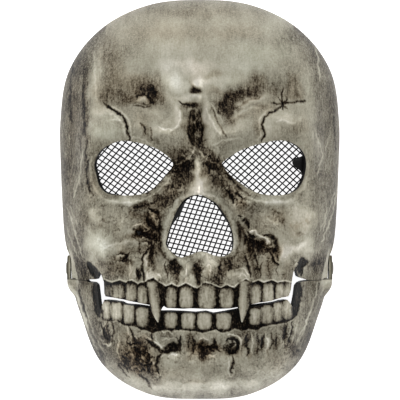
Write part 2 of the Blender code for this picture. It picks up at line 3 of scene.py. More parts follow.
import bpy
import numpy as np
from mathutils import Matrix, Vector


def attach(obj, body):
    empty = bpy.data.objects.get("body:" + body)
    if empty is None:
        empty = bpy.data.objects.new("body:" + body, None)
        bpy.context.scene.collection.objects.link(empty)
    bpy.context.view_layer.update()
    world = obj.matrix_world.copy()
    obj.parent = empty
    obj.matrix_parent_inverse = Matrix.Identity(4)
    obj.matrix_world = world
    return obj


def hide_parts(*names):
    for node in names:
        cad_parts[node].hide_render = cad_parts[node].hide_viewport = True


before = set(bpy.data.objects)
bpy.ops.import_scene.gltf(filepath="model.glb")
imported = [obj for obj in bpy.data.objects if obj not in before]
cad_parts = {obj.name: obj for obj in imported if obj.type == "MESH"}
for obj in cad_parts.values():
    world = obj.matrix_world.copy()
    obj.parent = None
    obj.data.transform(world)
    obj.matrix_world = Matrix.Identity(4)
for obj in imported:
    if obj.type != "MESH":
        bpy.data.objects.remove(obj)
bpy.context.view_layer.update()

print("frame loaded")


# Tables and curves, in millimetres

def asRows(columns, rows):  # a table with named columns, one dictionary for each row
    return [dict(zip(columns.split(), row)) for row in rows]


maskForm = {
    "wall": 2.0,            # thickness of the moulding
    "middleY": -18.0,       # middle of the grid's rings, inside the nose opening
    "sideCut": 32.0,        # below this height the two shells part along their side walls
    "reliefFade": 1.6,
    "wallShade": 0.26,       # painted shade: how much darker the steep side walls are made
}

outline = asRows("turn reach fullness", [
    (-90, 125.0, 6.0), (-75, 126.0, 5.2), (-60, 120.3, 3.8), (-45, 104.6, 2.9),
    (-37, 98.4, 2.8), (-30, 93.2, 2.8), (-15, 87.7, 2.9), (0, 86.2, 3.1), (15, 90.2, 3.3), (30, 100.7, 3.3),
    (45, 115.2, 3.0), (60, 123.3, 2.8), (75, 125.8, 2.6), (90, 125.0, 2.6),
])
depths = asRows("y depth", [
    (-125, 86), (-105, 91), (-80, 91), (-50, 93), (-20, 94), (10, 95), (35, 97), (65, 95), (95, 90), (125, 84),
])
forms = asRows("form x y wide high tilt rise edge", [  # both sides get a row whose x isn't 0
    ("muzzle", 0, -60, 52, 27, 0, 11, 5), ("cheekbone", 57, -24, 15, 18, 30, 10, 3),
    ("cheekArch", 72, -12, 12, 9, -20, 6, 2), ("underCheek", 66, -50, 9, 13, 0, -9, 2),
    ("canineHollow", 30, -24, 8, 16, 20, -5, 2), ("browInner", 22, 39, 15, 8, 24, 6, 2),
    ("browOuter", 49, 43, 17, 8, -8, 5, 2), ("browCorner", 67, 28, 7, 14, 0, 5, 2),
    ("frownFold", 11, 47, 7, 16, 0, 4, 2), ("browDip", 33, 62, 20, 9, 0, -3, 2),
    ("foreheadBoss", 30, 84, 24, 17, 0, 3, 2), ("temple", 78, 38, 9, 32, 0, -10, 2),
    ("innerEye", 20, 13, 10, 14, -30, -7, 2), ("furrow", 0, 46, 4, 19, 0, -4.5, 2),
    ("noseBridge", 0, 14, 8, 17, 0, 7, 2), ("eyeFloor", 43, -2, 22, 5, 4, 3, 2),
    ("chin", 0, -105, 34, 14, 0, 8, 3), ("jawCorner", 52, -88, 14, 14, 30, 4, 2),
    ("lipHollow", 0, -88, 38, 6, 0, -3, 3),
])
skullForms = forms + asRows("form x y wide high tilt rise edge", [("fangLift", 25.5, -71, 7, 10, 0, 2.6, 2)])
jawForms = forms + asRows("form x y wide high tilt rise edge", [("underbite", 0, -70, 47, 9, 0, -5.5, 4)])

eyeLeft = [(-15.9, 21.5), (-24.9, 29.3), (-36.8, 33.3), (-47.6, 34.2), (-58.0, 29.6), (-62.6, 22.0), (-62.0, 15.5),
           (-59.0, 6.6), (-52.4, 2.6), (-37.0, 2.4), (-27.9, 6.0), (-20.1, 13.7)]
eyeRight = [(14.0, 22.0), (25.3, 29.2), (39.0, 33.4), (49.7, 34.6), (58.7, 31.2), (63.0, 24.5), (63.0, 15.5),
            (58.9, 6.6), (49.7, 2.4), (34.8, 3.4), (22.3, 10.7), (14.6, 18.4)]
nosePoints = [(0.0, 2.4), (6.4, -0.4), (10.4, -3.2), (16.4, -12.0), (19.8, -21.4), (19.2, -30.4), (14.2, -33.8),
              (8.4, -33.2), (3.8, -31.4), (-0.4, -31.0), (-6.3, -33.2), (-12.2, -34.2), (-19.2, -28.6),
              (-19.4, -22.8), (-14.0, -7.8), (-8.1, 0.4)]

# Lower edge of the upper shell from one side wall to the other; its two long points are the fangs
parting = [
    (-110.0, -48.6), (-82.0, -48.6), (-78.0, -49.5), (-68.3, -49.5), (-67.6, -49.0), (-62.8, -48.7), (-61.7, -47.0),
    (-60.4, -43.1), (-58.8, -46.8), (-57.7, -50.1), (-57.4, -56.8), (-56.7, -58.6), (-51.2, -59.0), (-45.6, -59.7),
    (-41.3, -60.5), (-36.9, -61.2), (-29.4, -62.5), (-28.8, -65.1), (-27.2, -68.7), (-24.8, -72.6), (-24.1, -72.6),
    (-23.2, -68.9), (-22.8, -65.1), (-21.3, -62.8), (-19.4, -64.1), (-9.5, -64.6), (-5.7, -64.3), (2.7, -64.6),
    (11.1, -64.7), (17.8, -64.4), (21.6, -63.8), (22.9, -63.6), (23.3, -65.4), (24.0, -69.5), (24.6, -72.6),
    (25.3, -72.5), (27.0, -68.7), (28.9, -63.4), (29.4, -62.4), (34.8, -61.2), (38.6, -60.9), (42.5, -60.4),
    (48.7, -58.8), (53.2, -58.3), (54.6, -54.9), (55.4, -49.0), (56.3, -43.5), (57.5, -41.1), (58.4, -43.9),
    (59.6, -47.0), (63.4, -48.5), (65.8, -49.1), (66.4, -49.5), (78.0, -49.5), (82.0, -48.6), (110.0, -48.6),
]
jawEdge = [  # upper edge of the jaw shell, with a slit beside the last tooth
    (-110.0, -49.8), (-68.9, -49.8), (-68.2, -50.7), (-64.3, -50.8), (-62.5, -52.0), (-61.8, -57.1), (-60.7, -65.2),
    (-59.8, -67.2), (-58.9, -64.0), (-57.4, -60.6), (-52.5, -60.6), (-46.8, -61.3), (-44.5, -62.7), (-36.9, -63.5),
    (-29.4, -64.6), (-23.1, -66.9), (-16.9, -66.7), (-9.5, -66.8), (-2.2, -67.2), (3.7, -66.6), (8.2, -67.7),
    (14.5, -66.9), (21.6, -65.9), (29.2, -64.1), (34.8, -63.2), (41.7, -62.1), (45.2, -61.4), (48.7, -60.4),
    (52.3, -60.1), (54.2, -62.2), (55.8, -64.9), (56.7, -63.2), (58.0, -56.9), (58.6, -52.2), (60.2, -50.6),
    (62.5, -49.9), (65.8, -49.8), (110.0, -49.8),
]
hinge = {"y": -43.0, "z": 14.0, "lugRadius": 7.5, "lugEdge": -48.6, "lugOuter": 79.2, "earRadius": 8.0,
         "earEdge": -49.8, "earRear": -55.0, "earOuter": 82.2, "padRadius": 10.0, "padFade": 9.0, "hole": 2.3}

# Painted and carved marks, with painted shade and painted highlights among them, seen from the front: middle, half
# sizes in millimetres, turn, edge (2 soft, 3 flatter), tone added (below 0 dark wash and painted shade, above 0
# rubbed paint and painted highlight), rise of the surface, tint (above 0 brown, below 0 grey-green). The first rows
# are wide washes, partly painted light and shade.
stainsAndShading = asRows("x y wide high tilt edge tone rise tint", [
    (0, 80, 36, 19, 0, 3, 0.11, 0, 0), (6, -44, 6, 7, 0, 3, -0.14, 0, 0.1),
    (56, -52, 6, 17, 0, 3, -0.1, 0, 0.1), (-57, -74, 7, 22, 0, 3, -0.13, 0, 0.1),
    (-36, -103, 15, 6, -20, 3, -0.1, 0, 0.2), (-30, -13, 6, 8, 0, 3, 0.2, 0, 0),
    (18, -94, 6, 6, 0, 3, 0.09, 0, 0), (56, 100, 8, 13, -45, 3, -0.1, 0, 0),
    (-74, 84, 5, 18, 20, 3, -0.06, 0, 0), (0, 108, 60, 10, 0, 3, 0.07, 0, 0),
    (-44, 70, 12, 8, 0, 3, 0.26, 0, 0), (-31, 43, 7, 6, 0, 3, 0.13, 0, 0), (-6, 57, 6, 5, 0, 3, 0.1, 0, 0),
    (-8, 43, 5, 7, 0, 3, 0.09, 0, 0), (8, 68, 13, 6, 0, 3, 0.08, 0, 0), (-48, -20, 12, 8, 0, 3, 0.09, 0, 0),
    (-69, 10, 6, 60, 0, 4, -0.11, 0, 0), (69, 30, 5, 75, 0, 4, -0.09, 0, 0),
    (-60, -92, 6, 10, -30, 3, -0.1, 0, 0), (56, -88, 6, 12, 30, 3, -0.1, 0, 0),
    (54, 96, 8, 10, -45, 3, -0.08, 0, 0), (-24, 4, 5, 6, 0, 3, 0.06, 0, 0), (-20, -44, 5, 6, 0, 3, 0.1, 0, 0),
    (27, -33, 5, 6, 0, 3, 0.12, 0, 0), (-70, -57, 5, 8, 0, 3, 0.13, 0, 0), (-45, -94, 8, 7, 0, 3, 0.11, 0, 0),
    (48, 68, 9, 7, 0, 3, -0.1, 0, 0), (-20, -104, 9, 6, 0, 3, -0.1, 0, 0.1), (12, -93, 38, 9, 0, 3, 0.09, 0, 0),
    (0, -114, 50, 7, 0, 3, 0.08, 0, 0), (-4, 8, 9, 8, 0, 3, 0.06, 0, 0),
    (0.2, 114.6, 32.7, 4.2, 0, 2, -0.1, 0, 0.2), (-21, 101.1, 23.8, 7.1, 0, 2, -0.06, 0, 0.3),
    (24.4, 99.9, 17.8, 7.1, 0, 2, -0.05, 0, 0.3), (52.3, 103.7, 10.7, 8.3, -30, 2, 0.04, 0, -0.3),
    (33.2, 86.4, 13.1, 9.5, 0, 2, 0.12, 0, -0.8), (-14.8, 90.7, 16.6, 7.1, 0, 2, 0.1, 0, 0),
    (-29.7, 82, 11.9, 7.1, 0, 2, 0.06, 0, -0.2), (-10, 79.4, 20.2, 4.2, 0, 2.5, 0.22, 0, 0.1),
    (-14.1, 69.6, 7.7, 4.8, -15, 2.5, 0.3, 0, -0.5), (-2.2, 77, 4.8, 7.1, 0, 2, 0.1, 0, 0.2),
    (26.5, 79.5, 8.3, 3.6, 0, 2, 0.14, 0, -0.4), (19.2, 68.5, 5.9, 7.1, 0, 2, 0.08, 0, -0.5),
    (4.3, 69.6, 4.8, 3, 0, 2, 0.16, 0, 0.1), (8.5, 74.5, 7.1, 3, 0, 2, -0.1, 0, 0.3),
    (-52.9, 82.6, 7.1, 13.1, 15, 2, -0.16, 0, 0.3), (-48.9, 67.6, 11.9, 9.5, 0, 3, -0.24, 0, 0.3),
    (-32.6, 67.4, 9.5, 8.3, 0, 3, -0.32, 0, 0.4), (-28.4, 61.3, 7.1, 5.3, -20, 2.5, -0.3, -0.3, 0.4),
    (-40.9, 59.6, 5.9, 3, 0, 2.5, -0.14, 0, 0.4), (-57.3, 61.7, 4.8, 5.9, 0, 2, -0.16, 0, 0.3),
    (-35.7, 78.3, 8.3, 3, 0, 2, -0.06, 0, 0), (33.6, 68.6, 5.9, 9.5, -12, 2.5, -0.22, 0, 0.4),
    (24, 61.9, 8.3, 5.3, 25, 2.5, -0.24, -0.2, 0.4), (15.6, 55.1, 4.8, 5.3, 25, 2.5, -0.42, -0.6, 0.5),
    (19.2, 61.2, 5.3, 2.4, 20, 2.5, -0.25, 0, 0.4), (56.6, 69, 5.3, 8.3, 0, 2.5, -0.17, 0, 0.4),
    (58.9, 61.1, 5.3, 3.6, 0, 2, -0.16, 0, 0.3), (44.4, 63.9, 5.3, 4.8, 0, 2, -0.08, 0, 0.2),
    (12.1, 63.5, 7.1, 2.4, 0, 2, -0.1, 0, 0.3), (51, 90.2, 5.9, 8.3, 0, 2, 0.06, 0, -0.5),
    (-76.6, 54.2, 3.6, 23.8, 0, 3, -0.06, 0, 0.3), (-69.8, 57.4, 2.4, 23.8, 0, 3, -0.12, 0, 0.3),
    (-70.1, 83.8, 5.9, 9.5, 30, 2, -0.04, 0, -0.4), (-62.3, 65.5, 2.4, 21.4, 0, 3, 0.08, 0, 0.1),
    (-79.9, 17.7, 3, 14.3, 0, 3, -0.08, 0, 0.2), (67.7, 59.6, 3.6, 27.3, 0, 3, 0.1, 0, -0.3),
    (83.2, 30.1, 3.6, 20.2, 0, 3, 0.06, 0, -0.2), (64.3, 98, 4.8, 5.9, -40, 2, 0.1, 0, -0.3),
    (-57.1, 53.1, 5.3, 3, 0, 2.5, 0.22, 0, 0.1), (-55.6, 39.8, 8.9, 4.8, 0, 3, 0.16, 0.6, -1.0),
    (-50.8, 47.5, 7.1, 2.4, -5, 2, 0.14, 0, -0.6), (-68.2, 42.6, 2.4, 9.5, 0, 2, -0.14, 0, 0.3),
    (-33.7, 59.5, 4.2, 1.8, -10, 2.5, 0.34, 0.8, 0.1), (-31.7, 40.7, 3.6, 5.3, 0, 2.5, -0.24, -0.3, 0.3),
    (-34.7, 47.9, 7.1, 4.2, 30, 2, -0.06, 0, 0.2), (-24.7, 50.3, 5.9, 2.4, -20, 2, 0.12, 0, 0.1),
    (-18.7, 42.4, 7.7, 3.6, 12, 2.5, 0.16, 0.5, 0.1), (-12.8, 50.2, 3, 6.5, 15, 2.5, 0.3, 0.7, 0.1),
    (-20.6, 60, 5.9, 2.4, -15, 2, 0.1, 0, 0.1), (-12.9, 59.9, 5.3, 1.8, -10, 2, 0.14, 0, 0.1),
    (-8.1, 59.9, 3, 1.8, 0, 2, 0.1, 0, 0), (-41.2, 31.4, 9.5, 2.4, -6, 2, -0.06, 0, 0.2),
    (-23.4, 33.6, 7.1, 2.4, -20, 2, -0.06, 0, 0.1), (4.3, 49.1, 3, 11.9, 8, 3, 0.26, 0.7, 0.1),
    (9.6, 44.2, 2.4, 8.3, 24, 2.5, 0.14, 0.3, 0.1), (21.4, 41.8, 10.7, 4.2, 25, 2.5, 0.16, 0.4, 0.1),
    (31.1, 58.3, 9.5, 2, 18, 2.5, 0.26, 0.6, 0.1), (27.4, 51.5, 11.9, 2.4, 25, 2, 0.1, 0.2, 0.1),
    (23.8, 47.9, 8.3, 1.5, 28, 2.5, -0.1, 0, 0.2), (19.1, 49.1, 3, 4.2, 0, 2.5, -0.22, -0.3, 0.3),
    (41.8, 55.3, 7.1, 2.4, 18, 2, -0.1, 0, 0.2), (38.1, 51.6, 4.8, 3, 0, 2, -0.1, 0, 0.3),
    (51.2, 48.1, 9.5, 4.2, -8, 2.5, 0.18, 0.5, 0.1), (46.3, 39.6, 8.3, 4.8, 0, 3, 0.1, 0.3, 0.1),
    (59.7, 42.2, 4.8, 4.8, 0, 2, -0.06, 0, 0.2), (68.7, 46.3, 3, 8.3, 0, 2, -0.06, 0, 0.2),
    (34.4, 41.9, 2.4, 5.9, 0, 2.5, -0.16, 0, 0.3), (-3.1, 64.8, 3.6, 2.4, 0, 3, -0.62, -1.6, 0.4),
    (-5.2, 55.7, 4.2, 1.8, 10, 2.5, -0.55, -1, 0.4), (-2.8, 43.8, 3.3, 10.7, 0, 3, -0.5, -0.8, 0.4),
    (-6.9, 41.9, 3, 9.5, 0, 2, -0.24, 0, 0.4), (2, 42, 2.4, 9.5, 0, 2, -0.2, 0, 0.4),
    (-1.6, 31.9, 3.6, 3.6, 0, 2, -0.3, 0, 0.4), (-4.6, 68.4, 2.4, 3, 20, 2, -0.1, 0, 0.3),
    (-1.6, 61.2, 3.6, 1.4, 0, 2.5, 0.2, 0.3, 0), (-0.4, 70.9, 2.4, 3, -20, 2, 0.18, 0.3, 0),
    (-14, 26, 7.1, 5.3, 35, 3, -0.2, 0, 0.3), (-10.5, 20.7, 7.1, 4.8, 35, 2.5, -0.44, -0.4, 0.4),
    (-5.7, 15.9, 3.6, 7.1, 20, 2.5, -0.34, 0, 0.4), (-11.1, 10.7, 5.3, 7.1, 20, 2.5, -0.38, 0, 0.5),
    (-17, 4.1, 5.3, 5.9, 20, 2.5, -0.3, 0, 0.5), (-23.5, -2.4, 5.9, 4.8, 0, 2.5, -0.3, 0, 0.5),
    (6.7, 24.2, 7.1, 4.8, -35, 2.5, -0.36, -0.3, 0.4), (13.2, 19.5, 4.8, 3, -30, 2.5, -0.26, 0, 0.4),
    (4.9, 17.1, 3.6, 4.8, -20, 2, -0.2, 0, 0.4), (12, 11.2, 5.3, 7.1, -30, 2.5, -0.32, 0, 0.5),
    (19.1, 4.1, 4.8, 5.3, -30, 2.5, -0.26, 0, 0.5), (25.6, -2.4, 4.8, 3.6, -10, 2, -0.16, 0, 0.4),
    (-1.3, 20.6, 1.5, 3.6, 0, 2.5, 0.3, 0, 0.1), (-1, 12.4, 3.9, 5.9, 0, 2.5, 0.34, 0.4, 0.1),
    (0.2, 7.6, 5.3, 2.4, 0, 2, 0.16, 0, 0.1), (-1.6, 5.9, 9.5, 2, 0, 2.5, 0.1, 0.2, 0.1),
    (4.9, 13.6, 3, 5.3, -12, 2.5, -0.1, 0, 0.4), (-64.5, 7.8, 4.8, 7.1, 0, 2, -0.06, 0, 0.3),
    (-42.4, -0.6, 11.9, 2.4, 3, 3, 0.2, 0.6, -0.4), (-34.7, -3.5, 5.9, 1.8, 8, 2.5, -0.3, -0.3, 0.5),
    (-61.2, -10.1, 4.8, 4.8, 0, 2.5, 0.22, 0, 0.1), (-60, -27.4, 7.7, 7.7, -20, 2.5, 0.32, 0.6, -0.9),
    (-69.4, -13.8, 3.6, 5.9, 0, 2, -0.08, 0, 0.2), (-52, -21.9, 4.8, 4.8, 0, 2, -0.06, 0, 0.2),
    (-57.2, -37.6, 7.1, 4.8, 0, 2, -0.06, 0, 0.3), (-48.4, -27.9, 7.1, 2.4, 12, 2, 0.12, 0.3, 0.1),
    (-66, -34.3, 4.8, 4.8, 0, 2, 0.06, 0, 0), (-29.5, -10.1, 5.3, 4.8, 0, 3, -0.34, -0.4, 0.7),
    (-30.7, -18.4, 7.7, 4.8, 0, 3, -0.46, -0.7, 0.7), (-38.4, -20.8, 5.3, 3, 20, 2.5, -0.38, -0.7, 0.6),
    (-28.3, -26.7, 4.8, 5.3, 0, 2.5, -0.28, 0, 0.6), (-36, -19.6, 1.8, 1.8, 0, 2, -0.3, -0.5, 0.4),
    (-38.9, -8.9, 4.8, 2.4, -20, 2.5, -0.1, 0, 0.4), (-23.5, -27.2, 3, 5.9, 0, 2.5, 0.04, 0, 0.1),
    (-42.6, -30.3, 8.3, 2.4, 0, 2, -0.1, 0, 0.3), (40.4, -1.8, 14.3, 2.1, -3, 3, 0.16, 0.5, -0.3),
    (23.8, -4.1, 4.2, 4.8, 0, 2.5, -0.14, 0, 0.4), (57.2, -11.3, 9.5, 8.3, 0, 3, 0.16, 0, 0.1),
    (67.2, -12.6, 4.2, 5.3, 0, 2.5, 0.18, 0, 0.1), (57.3, -29.2, 8.3, 3.6, 10, 2.5, 0.34, 0.5, 0.1),
    (51.1, -24.3, 7.1, 5.9, 0, 2, 0.1, 0, 0.1), (46.4, -10.1, 4.8, 4.2, 0, 2, -0.12, 0, 0.4),
    (58.4, -17.2, 4.8, 3.6, 0, 2, -0.1, 0, 0.4), (36.9, -14.8, 5.9, 4.8, 0, 2, 0.04, 0, 0.2),
    (31.1, -27.9, 5.3, 4.2, -25, 3, -0.42, -0.9, 0.8), (39.4, -29.1, 5.9, 4.2, -25, 3, -0.42, -0.7, 0.8),
    (28, -33.8, 4.2, 4.8, 0, 2.5, -0.22, 0, 0.5), (45.9, -32.7, 2.4, 5.3, -20, 2.5, -0.2, -0.3, 0.5),
    (50.1, -34.5, 3, 4.8, 30, 2.5, 0.26, 0.4, 0.1), (26.3, -19.6, 3.6, 4.8, -20, 2.5, -0.2, 0, 0.5),
    (22.7, -27.8, 3, 7.1, 0, 2.5, 0.04, 0, 0.1), (78.9, -9.1, 3, 17.8, 0, 2, 0.04, 0, -0.3),
    # the dark rows at x 61.2 here and at x -63.9 two lines down are painted shade in the hollows beside the slits
    (61.2, -40.3, 2.6, 5.6, -22, 4, -0.8, -1.4, 0.4), (70.6, -38.3, 5.3, 5.9, 0, 2.5, -0.2, -0.5, 0.3),
    (83.1, -42.1, 2.4, 7.1, 0, 2, -0.08, 0, 0.1), (-75.2, -24.9, 3.6, 11.9, 0, 2.5, -0.1, 0, 0.1),
    (-63.9, -43.2, 2.6, 4.6, 25, 4, -1.6, -1.4, 0.3), (-73, -39.6, 5.3, 5.3, 0, 2.5, -0.12, -0.3, 0.3),
    (-13.9, -37.1, 8.3, 2.4, 0, 2, 0.04, 0, -0.3), (13.1, -35.9, 7.1, 2.4, 0, 2, 0.04, 0, 0),
    (0.8, -32.4, 5.3, 2.4, 0, 2.5, 0.14, 0.4, 0), (-54.9, -43.7, 4.8, 2.4, 0, 2, 0.04, 0, 0.2),
    (-45, -36.3, 3.6, 3, 0, 2.5, -0.3, -0.4, 0.5), (-48.7, -42.3, 5.3, 3, 0, 2, -0.12, 0, 0.4),
    (-40.8, -42.1, 3.6, 4.8, 0, 2, 0.06, 0.3, 0.2), (-36.2, -44.4, 1.4, 3.6, 0, 3, -0.46, -0.7, 0.4),
    (-31.2, -37.3, 1.8, 5.9, 0, 2.5, 0.1, 0.4, 0.2), (-27.6, -36.1, 2, 5.9, 0, 2.5, -0.2, 0, 0.4),
    (-28.1, -45.4, 4.8, 2.7, 15, 3, 0.26, 0.9, 0.1), (-23.4, -39.5, 3, 4.8, 0, 2, 0.06, 0.2, 0.2),
    (-14.8, -39.4, 2.4, 4.8, 0, 3, -0.48, -0.9, 0.5), (-13.9, -46.4, 1.8, 4.2, 0, 2.5, -0.2, -0.3, 0.3),
    (-8.6, -40.6, 4.2, 7.1, 0, 3, 0.12, 0.7, 0.1), (-1, -42.9, 2.6, 7.1, 0, 3, -0.5, -0.9, 0.5),
    (6.1, -39.4, 4.2, 8.3, 0, 3, 0.12, 0.7, 0.1), (14.3, -39.4, 3.6, 5.3, 0, 2.5, -0.2, -0.3, 0.4),
    (11.3, -47.6, 1.8, 3.6, 0, 2.5, -0.18, -0.3, 0.3), (19, -44.1, 3.6, 5.3, 10, 2.5, 0.08, 0.5, 0.1),
    (21.4, -37.1, 3.6, 3.6, 0, 2, -0.14, 0, 0.3), (25.5, -44.2, 4.8, 3, -15, 3, 0.24, 0.9, 0.1),
    (32.1, -42, 2.4, 7.1, 5, 2.5, -0.16, -0.3, 0.3), (36.9, -40.9, 3.6, 5.3, 0, 2.5, 0.06, 0.4, 0.2),
    (41.8, -37.4, 3, 5.9, -20, 2.5, -0.12, 0, 0.4), (41.7, -45.7, 1.8, 3.6, 0, 2.5, -0.14, -0.2, 0.3),
    (46, -43.4, 3, 3.6, 0, 2, 0.06, 0.3, 0.1), (52.7, -42.4, 3.6, 4.8, 0, 2, -0.04, 0, 0.2),
    (50.3, -47.1, 1.5, 3, 0, 2.5, -0.12, 0, 0.3), (-55.9, -82.1, 2.4, 3.6, -12, 3, -0.24, -0.6, 0.3),
    (-43.4, -80.6, 3.6, 3.6, 0, 2.5, -0.06, 0, 0.3), (-39.4, -90.5, 9.5, 8.3, -30, 3, -0.24, -0.2, 0.6),
    (-43.2, -98.2, 7.1, 5.9, -30, 2.5, -0.2, 0, 0.6), (-32.1, -90.2, 5.3, 8.3, 0, 2.5, -0.24, -0.2, 0.6),
    (-29.8, -101.2, 4.8, 4.8, 0, 2.5, -0.26, 0, 0.6), (-33.2, -82.7, 5.3, 3.6, 0, 2, -0.1, 0, 0.3),
    (-35.9, -100.3, 5.9, 4.2, 0, 2, -0.06, 0, 0.4), (-22.4, -82.4, 3.6, 4.2, 0, 2.5, 0.06, 0.3, -0.3),
    (-17.1, -88.7, 3.3, 2.4, 0, 3, -0.5, -1.2, -0.4), (-5.7, -83.5, 2.4, 4.2, 0, 2.5, -0.26, 0, 0.5),
    (1.9, -80.9, 4.2, 2.4, 0, 2.5, 0.1, 0.3, 0.1), (3.1, -89.7, 5.3, 4.8, 0, 3, -0.44, -0.3, 0.9),
    (-4, -90.9, 4.2, 4.2, 0, 2.5, -0.24, 0, 0.7), (10.3, -89.8, 4.2, 4.2, 0, 2.5, -0.18, 0, 0.6),
    (19.8, -87.5, 3.3, 4.8, 0, 3, -0.46, -1.1, 0), (15.7, -91.1, 3, 3, 0, 2.5, -0.2, 0, 0.3),
    (27.5, -83.8, 3, 5.3, 0, 2.5, -0.18, -0.2, 0.4), (23.4, -91.2, 4.2, 5.3, 0, 2, -0.1, 0, 0.3),
    (37.5, -86, 1.4, 4.8, 0, 3, -0.38, -0.6, 0.3), (45.8, -87, 1.8, 4.8, 0, 2.5, -0.18, 0, 0.3),
    (50.9, -81.7, 1.5, 4.8, 0, 3, -0.34, -0.6, 0.3), (32.3, -81.4, 2.4, 4.8, 0, 2.5, 0.04, 0.2, 0),
    (41.4, -84.3, 2.4, 4.8, 0, 2.5, 0.08, 0.2, 0), (47.5, -80.8, 2, 4.2, 0, 2.5, 0.04, 0.2, 0),
    (58.2, -79.2, 3, 5.9, 0, 2, 0.08, 0, -0.2), (57.4, -93.1, 4.2, 4.8, 30, 2.5, -0.18, 0, 0.5),
    (47.4, -98.6, 5.9, 4.8, 30, 2, -0.06, 0, 0.3), (37.4, -99.1, 8.3, 4.8, 20, 2, 0.04, 0, 0),
    (30.2, -102.5, 7.1, 3.6, 0, 2, 0.06, 0, 0), (-16.5, -95.8, 5.3, 4.8, 0, 3, 0.16, 0.4, -0.1),
    (-11.7, -103.1, 8.3, 4.2, 0, 2.5, 0.14, 0.3, 0.1), (0.2, -99.2, 8.3, 3.6, 0, 2, 0.08, 0, 0.1),
    (1.4, -112.5, 35.6, 3.6, 0, 3, 0.16, 0, 0), (-2.2, -108.9, 5.9, 1.8, 0, 2, -0.08, 0, 0.3),
    (-30.1, -112.2, 8.3, 3.6, -25, 2, 0.04, 0, 0), (31.9, -113.9, 8.3, 3, 20, 2, 0.06, 0, 0),
    (-56.3, -92.9, 3, 9.5, -28, 2.5, 0.1, 0, -0.1), (-68.7, -75.6, 2.4, 17.8, -12, 3, 0.1, 0, 0),
    (-65.6, -61.5, 2.4, 13.1, 0, 2, -0.06, 0, 0), (64.7, -71.3, 3, 14.3, 8, 3, -0.08, 0, -0.1),
])

